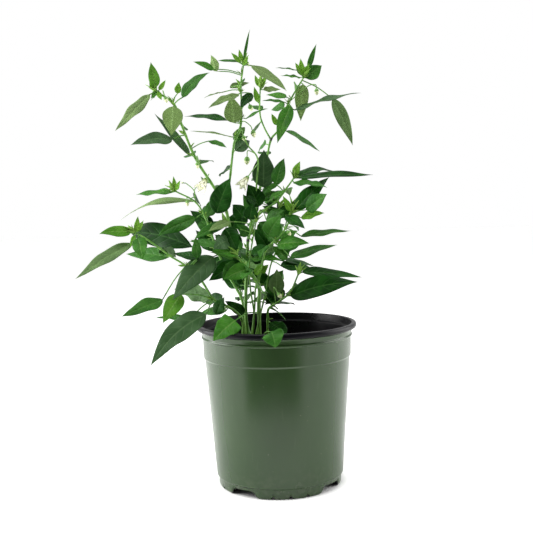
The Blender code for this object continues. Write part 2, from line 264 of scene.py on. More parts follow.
class Recipe:
    """Builds one material's nodes, ending in its one shader."""

    def __init__(self, name: str) -> None:
        """Start an empty Principled material.

        Args:
            name: The material's name.
        """
        self.material = bpy.data.materials.new(name)
        self.material.use_nodes = True
        self.tree = self.material.node_tree
        self.shader = self.tree.nodes["Principled BSDF"]

    def node(self, kind: str, **settings: object) -> bpy.types.Node:
        """Add a shader node.

        Args:
            kind: The node's type, without its common prefix.
            settings: The node's properties.

        Returns:
            The node.
        """
        made = self.tree.nodes.new("ShaderNode" + kind)
        for key, value in settings.items():
            setattr(made, key, value)
        return made

    def feed(self, socket: bpy.types.NodeSocket, value: object) -> None:
        """Link a socket, or set its constant.

        Args:
            socket: The input.
            value: Another node's output, a number, or a colour.
        """
        if isinstance(value, bpy.types.NodeSocket):
            self.tree.links.new(value, socket)
        elif isinstance(value, tuple) and len(value) == 3 and socket.type == "RGBA":
            socket.default_value = (*value, 1)
        else:
            socket.default_value = value

    def place(self) -> bpy.types.NodeSocket:
        """The object's own coordinates."""
        return self.node("TexCoord").outputs["Object"]

    def stretched(self, scale: tuple[float, float, float]) -> bpy.types.NodeSocket:
        """Scale the object's own coordinates along each axis.

        Args:
            scale: The three scales.

        Returns:
            The scaled place.
        """
        made = self.node("Mapping")
        self.feed(made.inputs["Vector"], self.place())
        made.inputs["Scale"].default_value = scale
        return made.outputs["Vector"]

    def noise(self, scale: float, detail: float = 2.0, place: object = None) -> bpy.types.NodeSocket:
        """Add soft noise.

        Args:
            scale: The noise's scale, in waves per metre.
            detail: Its finer layers.
            place: Where it is read, or none for the object's own coordinates.

        Returns:
            The noise, from 0 to 1.
        """
        made = self.node("TexNoise")
        self.feed(made.inputs["Vector"], place or self.place())
        made.inputs["Scale"].default_value = scale
        made.inputs["Detail"].default_value = detail
        return made.outputs["Fac"]

    def maths(self, operation: str, a: object, b: object = 0.0) -> bpy.types.NodeSocket:
        """Do one sum.

        Args:
            operation: The sum's name.
            a: The first value.
            b: The second value.

        Returns:
            The result.
        """
        made = self.node("Math", operation=operation)
        self.feed(made.inputs[0], a)
        self.feed(made.inputs[1], b)
        return made.outputs[0]

    def between(self, value: object, low: float, high: float, start: float = 0.0,
                end: float = 1.0) -> bpy.types.NodeSocket:
        """Carry a value smoothly over a range.

        Args:
            value: The value.
            low: Where it starts to count.
            high: Where it stops.
            start: The result at low.
            end: The result at high.

        Returns:
            The result.
        """
        made = self.node("MapRange", interpolation_type="SMOOTHSTEP")
        self.feed(made.inputs["Value"], value)
        made.inputs["From Min"].default_value = low
        made.inputs["From Max"].default_value = high
        made.inputs["To Min"].default_value = start
        made.inputs["To Max"].default_value = end
        return made.outputs["Result"]

    def mix(self, share: object, first: object, second: object) -> bpy.types.NodeSocket:
        """Mix two colours.

        Args:
            share: How much of the second.
            first: The first colour.
            second: The second colour.

        Returns:
            The mixed colour.
        """
        made = self.node("Mix", data_type="RGBA")
        self.feed(made.inputs[0], share)
        self.feed(made.inputs[6], first)
        self.feed(made.inputs[7], second)
        return made.outputs[2]

    def attribute(self, name: str) -> bpy.types.NodeSocket:
        """A number that the piece carries on its points."""
        return self.node("Attribute", attribute_name=name).outputs["Fac"]

    def bump(self, height: object, distance: float, strength: float = 1.0) -> None:
        """Raise the surface by a height, after what is there already.

        Args:
            height: The height, from 0 to 1.
            distance: How far one stands out, in metres.
            strength: How much it counts.
        """
        made = self.node("Bump")
        made.inputs["Strength"].default_value = strength
        made.inputs["Distance"].default_value = distance
        self.feed(made.inputs["Height"], height)
        earlier = self.shader.inputs["Normal"].links
        if earlier:
            self.feed(made.inputs["Normal"], earlier[0].from_socket)
        self.feed(self.shader.inputs["Normal"], made.outputs["Normal"])

    def surface(self, colour: object, roughness: object, **constants: float) -> bpy.types.Material:
        """Set the shader.

        Args:
            colour: The base colour, plain or from a node.
            roughness: The roughness, plain or from a node.
            constants: Other sockets of the shader, with underscores for spaces.

        Returns:
            The material.
        """
        self.feed(self.shader.inputs["Base Color"], colour)
        self.feed(self.shader.inputs["Roughness"], roughness)
        for key, value in constants.items():
            self.shader.inputs[key.replace("_", " ")].default_value = value
        return self.material


# ---- geometry nodes


class Growth:
    """A Geometry Nodes tree that is built here, applied once, and then taken off."""

    def __init__(self, name: str, inputs: dict[str, str]) -> None:
        """Start a tree.

        Args:
            name: The tree's name.
            inputs: The named inputs besides the geometry, each with its socket type.
        """
        self.tree = bpy.data.node_groups.new(name, "GeometryNodeTree")
        face = self.tree.interface
        face.new_socket("Geometry", in_out="INPUT", socket_type="NodeSocketGeometry")
        face.new_socket("Geometry", in_out="OUTPUT", socket_type="NodeSocketGeometry")
        self.keys = {}
        for label, kind in inputs.items():
            made = face.new_socket(label, in_out="INPUT", socket_type=kind)
            self.keys[label] = made.identifier
        self.start = self.tree.nodes.new("NodeGroupInput")
        self.end = self.tree.nodes.new("NodeGroupOutput")

    def node(self, kind: str, feeds: dict[object, object], **settings: object) -> bpy.types.Node:
        """Add a node.

        Args:
            kind: The node's type, without its common prefix for geometry nodes.
            feeds: Its inputs by name or number, each a socket, an input's name with @, or a value.
            settings: The node's properties.

        Returns:
            The node.
        """
        prefix = "" if kind.startswith(("Shader", "Function")) else "GeometryNode"
        made = self.tree.nodes.new(prefix + kind)
        for key, value in settings.items():
            setattr(made, key, value)
        for key, value in feeds.items():
            if isinstance(value, str) and value.startswith("@"):
                value = self.start.outputs[value[1:]]
            if isinstance(value, bpy.types.NodeSocket):
                self.tree.links.new(value, made.inputs[key])
            else:
                made.inputs[key].default_value = value
        return made

    def finish(self, geometry: bpy.types.NodeSocket) -> None:
        """End the tree in Realize Instances, Set Shade Smooth and Set Material.

        Args:
            geometry: What has been grown.
        """
        real = self.node("RealizeInstances", {"Geometry": geometry})
        smooth = self.node("SetShadeSmooth", {"Geometry": real.outputs["Geometry"]})
        dressed = self.node("SetMaterial", {"Geometry": smooth.outputs["Geometry"], "Material": "@Finish"})
        self.tree.links.new(dressed.outputs["Geometry"], self.end.inputs["Geometry"])

    def apply(self, made: bpy.types.Object, values: dict[str, object]) -> bpy.types.Object:
        """Grow the tree's result on an object, as plain mesh data.

        Args:
            made: The object that the tree reads.
            values: The value of each named input.

        Returns:
            The same object with its new mesh.
        """
        modifier = made.modifiers.new("growth", "NODES")
        modifier.node_group = self.tree
        for label, value in values.items():
            modifier[self.keys[label]] = value
        return evaluated(made)


def cane_growth() -> Growth:
    """Build a stem's skin: a tube as thick as the points say along a line, lightly rippled.

    Returns:
        The tree.
    """
    grow = Growth("cane_growth", {"Sides": "NodeSocketInt", "Ripple": "NodeSocketFloat",
                                  "Ripple Scale": "NodeSocketFloat", "Finish": "NodeSocketMaterial"})
    thickness = grow.node("InputNamedAttribute", {"Name": "thickness"}, data_type="FLOAT")
    line = grow.node("MeshToCurve", {"Mesh": "@Geometry"})
    sized = grow.node("SetCurveRadius", {"Curve": line.outputs["Curve"],
                                         "Radius": thickness.outputs["Attribute"]})
    ring = grow.node("CurvePrimitiveCircle", {"Resolution": "@Sides", "Radius": 1.0})
    skin = grow.node("CurveToMesh", {"Curve": sized.outputs["Curve"], "Profile Curve": ring.outputs["Curve"],
                                     "Fill Caps": True})
    if "Scale" in skin.inputs:
        radius = grow.node("InputNamedAttribute", {"Name": "thickness"}, data_type="FLOAT")
        grow.tree.links.new(radius.outputs["Attribute"], skin.inputs["Scale"])
    ripple = grow.node("ShaderNodeTexNoise", {"Scale": "@Ripple Scale", "Detail": 2.0})
    centred = grow.node("ShaderNodeMath", {0: ripple.outputs["Fac"], 1: 0.5}, operation="SUBTRACT")
    depth = grow.node("ShaderNodeMath", {0: centred.outputs[0], 1: "@Ripple"}, operation="MULTIPLY")
    normal = grow.node("InputNormal", {})
    offset = grow.node("ShaderNodeVectorMath", {0: normal.outputs["Normal"]}, operation="SCALE")
    grow.tree.links.new(depth.outputs[0], offset.inputs["Scale"])
    moved = grow.node("SetPosition", {"Geometry": skin.outputs["Mesh"], "Offset": offset.outputs["Vector"]})
    grow.finish(moved.outputs["Geometry"])
    return grow


def tuft_growth() -> Growth:
    """Build young leaves: one small leaf on every point, turned and sized as the point says.

    Returns:
        The tree.
    """
    grow = Growth("tuft_growth", {"Leaflet": "NodeSocketObject", "Finish": "NodeSocketMaterial"})
    leaflet = grow.node("ObjectInfo", {"Object": "@Leaflet"})
    aim = grow.node("InputNamedAttribute", {"Name": "aim"}, data_type="FLOAT_VECTOR")
    size = grow.node("InputNamedAttribute", {"Name": "size"}, data_type="FLOAT")
    points = grow.node("MeshToPoints", {"Mesh": "@Geometry"})
    turn = grow.node("FunctionNodeEulerToRotation", {"Euler": aim.outputs["Attribute"]})
    placed = grow.node("InstanceOnPoints", {"Points": points.outputs["Points"],
                                            "Instance": leaflet.outputs["Geometry"],
                                            "Rotation": turn.outputs["Rotation"],
                                            "Scale": size.outputs["Attribute"]})
    grow.finish(placed.outputs["Instances"])
    return grow


def litter_growth() -> Growth:
    """Strew loose bits on the upward faces of a surface, turned and sized at random.

    Returns:
        The tree.
    """
    grow = Growth("litter_growth", {
        "Bit": "NodeSocketObject", "Density": "NodeSocketFloat", "Smallest": "NodeSocketFloat",
        "Largest": "NodeSocketFloat", "Reach": "NodeSocketFloat", "Seed": "NodeSocketInt",
        "Finish": "NodeSocketMaterial"})
    bit = grow.node("ObjectInfo", {"Object": "@Bit"})
    place = grow.node("InputPosition", {})
    flat = grow.node("ShaderNodeVectorMath", {0: place.outputs["Position"], 1: (1.0, 1.0, 0.0)},
                     operation="MULTIPLY")
    out = grow.node("ShaderNodeVectorMath", {0: flat.outputs["Vector"]}, operation="LENGTH")
    normal = grow.node("InputNormal", {})
    tilt = grow.node("ShaderNodeSeparateXYZ", {0: normal.outputs["Normal"]})
    high = grow.node("ShaderNodeMath", {0: out.outputs["Value"], 1: "@Reach"}, operation="LESS_THAN")
    upward = grow.node("ShaderNodeMath", {0: tilt.outputs["Z"], 1: 0.5}, operation="GREATER_THAN")
    both = grow.node("ShaderNodeMath", {0: high.outputs[0], 1: upward.outputs[0]}, operation="MULTIPLY")
    strewn = grow.node("DistributePointsOnFaces", {"Mesh": "@Geometry", "Density": "@Density",
                                                   "Seed": "@Seed", "Selection": both.outputs[0]})
    turn = grow.node("FunctionNodeRandomValue", {0: (0.0, 0.0, 0.0), 1: (2 * pi, 2 * pi, 2 * pi),
                                                 "Seed": "@Seed"}, data_type="FLOAT_VECTOR")
    size = grow.node("FunctionNodeRandomValue", {2: "@Smallest", 3: "@Largest", "Seed": "@Seed"},
                     data_type="FLOAT")
    spin = grow.node("FunctionNodeEulerToRotation", {"Euler": turn.outputs["Value"]})
    placed = grow.node("InstanceOnPoints", {"Points": strewn.outputs["Points"],
                                            "Instance": bit.outputs["Geometry"],
                                            "Rotation": spin.outputs["Rotation"],
                                            "Scale": size.outputs[1]})
    grow.finish(placed.outputs["Instances"])
    return grow


# ---- finishes

BLADE_MAP = "blade"  # the blades' own map: across the blade, and along it
VEIN_PAIRS = 7.0  # side veins on each half of a blade
VEIN_SWEEP = 0.20  # how far towards the tip a side vein runs, as a share of the blade
VEIN_BEND = 1.3


@dataclass(frozen=True)
class LeafFinish:
    """One leaf colouring, partly an age of leaf and partly painted light and shade: the colours of both sides
    and how rough the upper side is.
    """

    upper: Colour
    fresh: Colour
    lower: Colour
    vein: Colour
    roughness: float

    def vein_lines(self, recipe: Recipe) -> tuple[bpy.types.NodeSocket, bpy.types.NodeSocket]:
        """Draw the midrib and the side veins on the blade's own map.

        Args:
            recipe: The material that is being built.

        Returns:
            The midrib's and the side veins' shares.
        """
        spot = recipe.node("UVMap", uv_map=BLADE_MAP).outputs["UV"]
        parts = recipe.node("SeparateXYZ")
        recipe.feed(parts.inputs[0], spot)
        off = recipe.maths("MULTIPLY", recipe.maths("ABSOLUTE", recipe.maths(
            "SUBTRACT", parts.outputs["X"], 0.5)), 2.0)
        swept = recipe.maths("SUBTRACT", parts.outputs["Y"],
                             recipe.maths("MULTIPLY", recipe.maths("POWER", off, VEIN_BEND), VEIN_SWEEP))
        cycle = recipe.maths("FRACT", recipe.maths("MULTIPLY", swept, VEIN_PAIRS))
        near = recipe.maths("ABSOLUTE", recipe.maths("SUBTRACT", cycle, 0.5))
        side = recipe.maths("MULTIPLY", recipe.between(near, 0.0, 0.11, 1.0, 0.0),
                            recipe.between(off, 0.55, 0.95, 1.0, 0.0))
        midrib = recipe.between(off, 0.02, 0.10, 1.0, 0.0)
        return midrib, side

    def upper_side(self, name: str) -> bpy.types.Material:
        """Make the satin upper side: fresher in patches, with a pale midrib and side veins.

        Args:
            name: The tone's name.

        Returns:
            The material.
        """
        recipe = Recipe(f"leaf_upper_{name}")
        midrib, side = self.vein_lines(recipe)
        cloudy = recipe.between(recipe.noise(55.0, 3.0), 0.35, 0.68)
        blade = recipe.mix(cloudy, self.upper, self.fresh)
        flecked = recipe.mix(recipe.between(recipe.noise(900.0, 2.0), 0.5, 0.8, 0.0, 0.15), blade, self.fresh)
        veined = recipe.mix(recipe.maths("MULTIPLY", side, 0.28), flecked, self.vein)
        colour = recipe.mix(recipe.maths("MULTIPLY", midrib, 0.62), veined, self.vein)
        rough = recipe.between(recipe.noise(240.0, 2.0), 0.3, 0.7, self.roughness - 0.05,
                               self.roughness + 0.08)
        recipe.bump(recipe.noise(1100.0, 2.0), 0.00003, 0.12)
        recipe.bump(recipe.maths("SUBTRACT", 1.0, side), 0.0004, 0.6)
        return recipe.surface(colour, rough, Specular_IOR_Level=0.09)

    def lower_side(self, name: str) -> bpy.types.Material:
        """Make the matt lower side: paler, with raised pale veins.

        Args:
            name: The tone's name.

        Returns:
            The material.
        """
        recipe = Recipe(f"leaf_lower_{name}")
        midrib, side = self.vein_lines(recipe)
        cloudy = recipe.between(recipe.noise(70.0, 3.0), 0.3, 0.7, 0.0, 0.45)
        blade = recipe.mix(cloudy, self.lower, self.fresh)
        veined = recipe.mix(recipe.maths("MULTIPLY", side, 0.5), blade, self.vein)
        colour = recipe.mix(recipe.maths("MULTIPLY", midrib, 0.75), veined, self.vein)
        recipe.bump(recipe.noise(1100.0, 3.0), 0.00004, 0.14)
        recipe.bump(side, 0.0003, 0.6)
        return recipe.surface(colour, 0.62, Specular_IOR_Level=0.10)


class Tone(Enum):
    """The leaf colourings on this plant: partly the leaves' ages and partly painted light and shade, with
    lighter copies for lit leaves and darker ones, DEEP most of all, for leaves in shadow.
    """

    # DEEP is painted shade: a darker copy of the leaf finish for a leaf that lies in shadow.
    DEEP = LeafFinish((0.003, 0.022, 0.002), (0.008, 0.046, 0.004), (0.050, 0.120, 0.030),
                      (0.032, 0.095, 0.020), 0.42)
    DARK = LeafFinish((0.004, 0.036, 0.002), (0.012, 0.078, 0.006), (0.070, 0.170, 0.040),
                      (0.045, 0.140, 0.025), 0.38)
    DUSKY = LeafFinish((0.034, 0.086, 0.027), (0.062, 0.130, 0.050), (0.100, 0.185, 0.072),
                       (0.100, 0.185, 0.072), 0.42)
    GREEN = LeafFinish((0.021, 0.100, 0.010), (0.046, 0.160, 0.021), (0.100, 0.215, 0.052),
                       (0.090, 0.220, 0.045), 0.42)
    BRIGHT = LeafFinish((0.028, 0.130, 0.010), (0.054, 0.190, 0.019), (0.125, 0.260, 0.058),
                        (0.130, 0.270, 0.058), 0.40)
    FRESH = LeafFinish((0.060, 0.200, 0.013), (0.098, 0.265, 0.025), (0.150, 0.300, 0.062),
                       (0.180, 0.350, 0.075), 0.42)
    YOUNG = LeafFinish((0.100, 0.270, 0.018), (0.155, 0.350, 0.034), (0.200, 0.360, 0.072),
                       (0.240, 0.430, 0.095), 0.44)
    OLIVE = LeafFinish((0.082, 0.155, 0.048), (0.115, 0.200, 0.066), (0.150, 0.250, 0.088),
                       (0.160, 0.270, 0.090), 0.48)
    PALE = LeafFinish((0.115, 0.190, 0.060), (0.155, 0.245, 0.080), (0.175, 0.290, 0.082),
                      (0.250, 0.390, 0.140), 0.52)


class Finishes:
    """Every finish but the leaves', each made once and shared."""

    def __init__(self) -> None:
        """Build the shared materials."""
        self.upper = {tone: tone.value.upper_side(tone.name.lower()) for tone in Tone}
        self.lower = {tone: tone.value.lower_side(tone.name.lower()) for tone in Tone}
        self.stalk = self.green_stalk()
        self.cane = self.green_cane()
        self.shell = self.pot_shell()
        self.lining = self.pot_lining()
        self.soil = self.potting_soil()
        self.crumb = self.bark((0.030, 0.018, 0.011), (0.075, 0.045, 0.026), "soil_crumb")
        self.chip = self.bark((0.095, 0.050, 0.024), (0.210, 0.120, 0.060), "bark_chip")
        self.grit = self.perlite()
        self.petal = self.flower_petal()
        self.anther = self.flower_anther()
        self.bud = self.young_bud()

    def green_stalk(self) -> bpy.types.Material:
        """Make the leaf stalks' light green, a little streaked.

        Returns:
            The material.
        """
        recipe = Recipe("leaf_stalk")
        share = recipe.between(recipe.noise(120.0, 3.0), 0.35, 0.7)
        recipe.bump(recipe.noise(1400.0, 2.0), 0.00008, 0.4)
        return recipe.surface(recipe.mix(share, (0.075, 0.235, 0.030), (0.165, 0.370, 0.065)), 0.45,
                              Specular_IOR_Level=0.4)

    def green_cane(self) -> bpy.types.Material:
        """Make the stems' green: streaked pale, dark purple at the joints, woody at the soil.

        Returns:
            The material.
        """
        recipe = Recipe("green_cane")
        streak = recipe.between(recipe.noise(260.0, 3.0, recipe.stretched((1.0, 1.0, 0.12))), 0.35, 0.7)
        skin = recipe.mix(streak, (0.080, 0.235, 0.026), (0.175, 0.385, 0.060))
        joint = recipe.attribute("joint")
        patchy = recipe.maths("MULTIPLY", joint, recipe.between(recipe.noise(330.0, 2.0), 0.3, 0.6, 0.5, 1.0))
        purple = recipe.mix(recipe.between(patchy, 0.25, 0.8), skin, (0.020, 0.016, 0.022))
        low = recipe.attribute("woody")
        colour = recipe.mix(low, purple, (0.130, 0.115, 0.055))
        recipe.bump(recipe.noise(700.0, 3.0, recipe.stretched((1.0, 1.0, 0.15))), 0.0002, 0.5)
        return recipe.surface(colour, recipe.between(streak, 0.0, 1.0, 0.40, 0.52), Specular_IOR_Level=0.4)

    def pot_shell(self) -> bpy.types.Material:
        """Make the pot's green outside: soft gloss, faint scratches, specks, and dust near the foot.

        Returns:
            The material.
        """
        recipe = Recipe("pot_green_plastic")
        height = recipe.node("SeparateXYZ")
        recipe.feed(height.inputs[0], recipe.place())
        cloudy = recipe.between(recipe.noise(22.0, 3.0, recipe.stretched((1.0, 1.0, 0.5))), 0.3, 0.7)
        green = recipe.mix(cloudy, (0.019, 0.049, 0.011), (0.025, 0.058, 0.015))
        dusty = recipe.maths("MULTIPLY", recipe.between(height.outputs["Z"], 0.0, 0.04, 0.22, 0.0),
                             recipe.between(recipe.noise(160.0, 4.0), 0.4, 0.75))
        dusted = recipe.mix(dusty, green, (0.115, 0.135, 0.082))
        scratch = recipe.between(recipe.noise(420.0, 2.0, recipe.stretched((1.0, 1.0, 0.04))), 0.66, 0.74)
        rubbed = recipe.mix(recipe.maths("MULTIPLY", scratch, 0.05), dusted, (0.120, 0.170, 0.095))
        speck = recipe.between(recipe.noise(520.0, 1.0), 0.78, 0.82)
        colour = recipe.mix(recipe.maths("MULTIPLY", speck, 0.5), rubbed, (0.180, 0.190, 0.130))
        rough = recipe.maths("ADD", recipe.between(recipe.noise(45.0, 4.0), 0.3, 0.7, 0.20, 0.26),
                             recipe.maths("MULTIPLY", dusty, 0.2))
        recipe.bump(recipe.noise(1100.0, 2.0), 0.00004, 0.3)
        recipe.bump(recipe.noise(30.0, 1.0), 0.0005, 0.12)
        return recipe.surface(colour, rough, Specular_IOR_Level=0.5)

    def pot_lining(self) -> bpy.types.Material:
        """Make the pot's black inside and lip: satin, with faint dust.

        Returns:
            The material.
        """
        recipe = Recipe("pot_black_plastic")
        dusty = recipe.between(recipe.noise(90.0, 5.0), 0.55, 0.85, 0.0, 0.22)
        colour = recipe.mix(dusty, (0.0030, 0.0030, 0.0045), (0.018, 0.016, 0.015))
        recipe.bump(recipe.noise(900.0, 2.0), 0.00005, 0.3)
        rough = recipe.between(recipe.noise(60.0, 4.0), 0.3, 0.7, 0.26, 0.38)
        return recipe.surface(colour, rough, Specular_IOR_Level=0.16)

    def potting_soil(self) -> bpy.types.Material:
        """Make dark moist potting mix.

        Returns:
            The material.
        """
        recipe = Recipe("potting_soil")
        fine = recipe.between(recipe.noise(420.0, 5.0), 0.35, 0.7)
        patches = recipe.between(recipe.noise(45.0, 3.0), 0.35, 0.65)
        brown = recipe.mix(fine, (0.012, 0.008, 0.006), (0.050, 0.032, 0.020))
        colour = recipe.mix(recipe.maths("MULTIPLY", patches, 0.4), brown, (0.070, 0.046, 0.028))
        recipe.bump(recipe.noise(650.0, 5.0), 0.0012, 0.8)
        return recipe.surface(colour, recipe.between(patches, 0.0, 1.0, 0.72, 0.95))

    def bark(self, dark: Colour, light: Colour, name: str) -> bpy.types.Material:
        """Make a crumb's or a bark chip's brown, streaked with its fibres.

        Args:
            dark: The darker brown.
            light: The lighter brown.
            name: The material's name.

        Returns:
            The material.
        """
        recipe = Recipe(name)
        fibre = recipe.between(recipe.noise(700.0, 4.0), 0.35, 0.68)
        by_place = recipe.between(recipe.noise(120.0, 1.0), 0.3, 0.7, 0.0, 0.6)
        colour = recipe.mix(by_place, recipe.mix(fibre, dark, light), light)
        recipe.bump(recipe.noise(1200.0, 3.0), 0.0004, 0.7)
        return recipe.surface(colour, 0.88)

    def perlite(self) -> bpy.types.Material:
        """Make off-white perlite, pitted and a little stained.

        Returns:
            The material.
        """
        recipe = Recipe("perlite_grit")
        stain = recipe.between(recipe.noise(300.0, 3.0), 0.4, 0.75)
        recipe.bump(recipe.noise(1600.0, 3.0), 0.0004, 0.8)
        return recipe.surface(recipe.mix(stain, (0.72, 0.71, 0.66), (0.36, 0.31, 0.24)), 0.9)

    def flower_petal(self) -> bpy.types.Material:
        """Make creamy white petals, greenish towards their base.

        Returns:
            The material.
        """
        recipe = Recipe("chilli_petal")
        fade = recipe.attribute("base")
        fine = recipe.between(recipe.noise(1100.0, 3.0), 0.3, 0.7)
        white = recipe.mix(fine, (0.90, 0.91, 0.66), (0.96, 0.96, 0.82))
        recipe.bump(recipe.noise(1800.0, 2.0), 0.00008, 0.4)
        return recipe.surface(recipe.mix(fade, white, (0.52, 0.62, 0.22)), 0.55, Specular_IOR_Level=0.3)

    def flower_anther(self) -> bpy.types.Material:
        """Make grey-violet anthers dusted with pollen.

        Returns:
            The material.
        """
        recipe = Recipe("chilli_anther")
        dust = recipe.between(recipe.noise(2200.0, 2.0), 0.5, 0.7)
        recipe.bump(recipe.noise(2600.0, 2.0), 0.0001, 0.5)
        return recipe.surface(recipe.mix(dust, (0.300, 0.280, 0.330), (0.70, 0.66, 0.40)), 0.7)

    def young_bud(self) -> bpy.types.Material:
        """Make a bud's finish: green at its calyx and creamy towards its tip.

        Returns:
            The material.
        """
        recipe = Recipe("flower_bud")
        ripe = recipe.attribute("ripe")
        fine = recipe.between(recipe.noise(900.0, 3.0), 0.3, 0.7)
        green = recipe.mix(fine, (0.110, 0.270, 0.045), (0.190, 0.390, 0.085))
        cream = recipe.mix(fine, (0.70, 0.75, 0.40), (0.82, 0.85, 0.56))
        recipe.bump(recipe.noise(1500.0, 2.0), 0.00008, 0.4)
        return recipe.surface(recipe.mix(recipe.between(ripe, 0.36, 0.50), green, cream), 0.48,
                              Specular_IOR_Level=0.4)


# ---- the pot


class Side(Enum):
    """Which moulded colour a stretch of the pot's wall has."""

    SHELL = 0
    LINING = 1


@dataclass(frozen=True)
class Corner:
    """A corner of the pot's half section, in millimetres, and how widely it is rounded."""

    radius: float
    height: float
    rounding: float = 0.0
    side: Side = Side.SHELL


@dataclass
class NurseryPot:
    """The thin moulded pot: green outside, black inside, with a rolled lip and an arched foot."""

    height: float = 167.7
    lip: float = 82.6
    lip_inside: float = 77.8
    collar: float = 76.5
    shoulder: float = 75.3
    shoulder_height: float = 133.0
    ankle: float = 66.2
    ankle_height: float = 11.5
    foot: float = 64.0
    pad: float = 34.0
    floor: float = 6.0
    wall: float = 1.3
    steps: int = 160
    arches: int = 4
    first_arch: float = -36.0
    arch_foot: float = 34.0
    arch_crown: float = 24.0
    arch_height: float = 7.2
    arch_depth: float = 18.0
    crown_rounding: float = 0.3
    notch_spread: float = 16.0
    notch_width: float = 4.2
    notch_height: float = 3.0
    notch_depth: float = 12.0
    notch_narrowing: float = 0.6

    def section(self) -> list[Corner]:
        """Lay out the half section, from the lip's inner edge over the outside and back up the inside.

        Returns:
            The corners, in order.
        """
        top, lip, collar, wall = self.height, self.lip, self.collar, self.wall
        black = Side.LINING
        bead = top - 12.6
        return [
            Corner(self.lip_inside, top, 0.7, black), Corner(lip - 0.2, top - 0.2, 1.6, black),
            Corner(lip, top - 4.6, 1.4, black), Corner(collar + 1.6, top - 6.6, 0.9),
            Corner(collar + 0.7, bead + 1.5, 0.4),
            Corner(collar + 1.6, bead + 0.6, 0.4), Corner(collar + 1.6, bead - 0.6, 0.4),
            Corner(collar + 0.2, bead - 1.7, 0.5), Corner(collar, self.shoulder_height + 1.5, 0.5),
            Corner(self.shoulder, self.shoulder_height, 0.6), Corner(self.ankle, self.ankle_height, 0.6),
            Corner(self.foot + 0.3, self.ankle_height - 1.5, 0.7), Corner(self.foot - 0.3, 1.4, 0.8),
            Corner(self.foot - 1.6, 0.0, 0.3), Corner(self.foot - 3.2, 0.0, 0.3, black),
            Corner(self.foot - 3.6, self.floor, 0.6, black), Corner(self.pad + 1.2, self.floor, 0.8, black),
            Corner(self.pad, 0.0, 0.5, black), Corner(0.0, 0.0, 0.0, black), Corner(0.0, wall, 0.0, black),
            Corner(self.pad - wall, wall, 0.6, black), Corner(self.pad - wall, self.floor + wall, 0.6, black),
            Corner(self.foot - 2.0, self.floor + wall, 0.6, black),
            Corner(self.ankle - wall, self.ankle_height + 0.5, 0.6, black),
            Corner(self.shoulder - wall, self.shoulder_height + 0.4, 0.5, black),
            Corner(collar - wall, self.shoulder_height + 3.0, 0.5, black),
            Corner(collar - wall, top - 9.0, 0.5, black),
            Corner(self.lip_inside - 0.3, top - 7.6, 0.7, black),
        ]

    def rounded(self) -> list[tuple[float, float, Side]]:
        """Draw the section with every rounded corner as a short arc.

        Returns:
            Each point's radius and height in millimetres, and its side.
        """
        corners = self.section()
        outline = []
        for i, corner in enumerate(corners):
            here = Vector((corner.radius, corner.height))
            before = Vector((corners[i - 1].radius, corners[i - 1].height)) - here
            after_corner = corners[(i + 1) % len(corners)]
            after = Vector((after_corner.radius, after_corner.height)) - here
            reach = min(corner.rounding, before.length * 0.45, after.length * 0.45)
            if reach <= 0.01:
                outline.append((here.x, here.y, corner.side))
                continue
            start, end = here + before.normalized() * reach, here + after.normalized() * reach
            for step in range(4):
                t = step / 3
                spot = start * (1 - t) ** 2 + here * 2 * t * (1 - t) + end * t ** 2
                outline.append((spot.x, spot.y, corner.side))
        return outline

    def turned(self, shell: bpy.types.Material, lining: bpy.types.Material) -> bpy.types.Object:
        """Turn the section into the closed shell, its faces marked green or black.

        Args:
            shell: The outside's finish.
            lining: The finish of the inside and the lip.

        Returns:
            The uncut pot.
        """
        outline = self.rounded()
        mesh = bmesh.new()
        columns = []
        for k in range(self.steps):
            angle = 2 * pi * k / self.steps
            columns.append([mesh.verts.new((r * MM * cos(angle), r * MM * sin(angle), h * MM))
                            for r, h, _ in outline])
        for k, column in enumerate(columns):
            beside = columns[(k + 1) % self.steps]
            for i, (_, _, side) in enumerate(outline):
                j = (i + 1) % len(outline)
                face = mesh.faces.new((column[i], column[j], beside[j], beside[i]))
                face.material_index = side.value
        bmesh.ops.remove_doubles(mesh, verts=mesh.verts, dist=0.00001)
        bmesh.ops.dissolve_degenerate(mesh, edges=mesh.edges, dist=0.00001)
        return new_object("nursery_pot", finished(mesh, "nursery_pot", 40.0), [shell, lining])

    def opening(self, widths: tuple[float, float], height: float, depth: float,
                heading: float) -> bpy.types.Object:
        """A cutter for an opening in the foot: a block with sloping ends, half below the ground.

        Args:
            widths: The opening's width at the ground and at its top, in millimetres.
            height: Its height.
            depth: How deep it goes into the foot.
            heading: Where it is, from the front towards +X, in degrees.

        Returns:
            The cutter.
        """
        mesh = bmesh.new()
        bmesh.ops.create_cube(mesh, size=1.0)
        low, high = widths
        slope = (low - high) / height
        for corner in mesh.verts:
            width = high if corner.co.z > 0 else low + slope * height
            corner.co = Vector((corner.co.x * width, corner.co.y * depth,
                                height if corner.co.z > 0 else -height)) * MM
        rounding = []
        for edge in mesh.edges:
            one, other = edge.verts
            if one.co.z > 0 and other.co.z > 0 and abs(one.co.y - other.co.y) > MM:
                rounding.append(edge)
        bmesh.ops.bevel(mesh, geom=rounding, offset=self.crown_rounding * height * MM, segments=3,
                        affect="EDGES", profile=0.5)
        angle = radians(heading)
        place = Matrix.Rotation(angle, 4, "Z") @ Matrix.Translation((0, -(self.foot + 1.0) * MM, 0))
        mesh.transform(place)
        return new_object("foot_cutter", finished(mesh, "foot_cutter"), [])

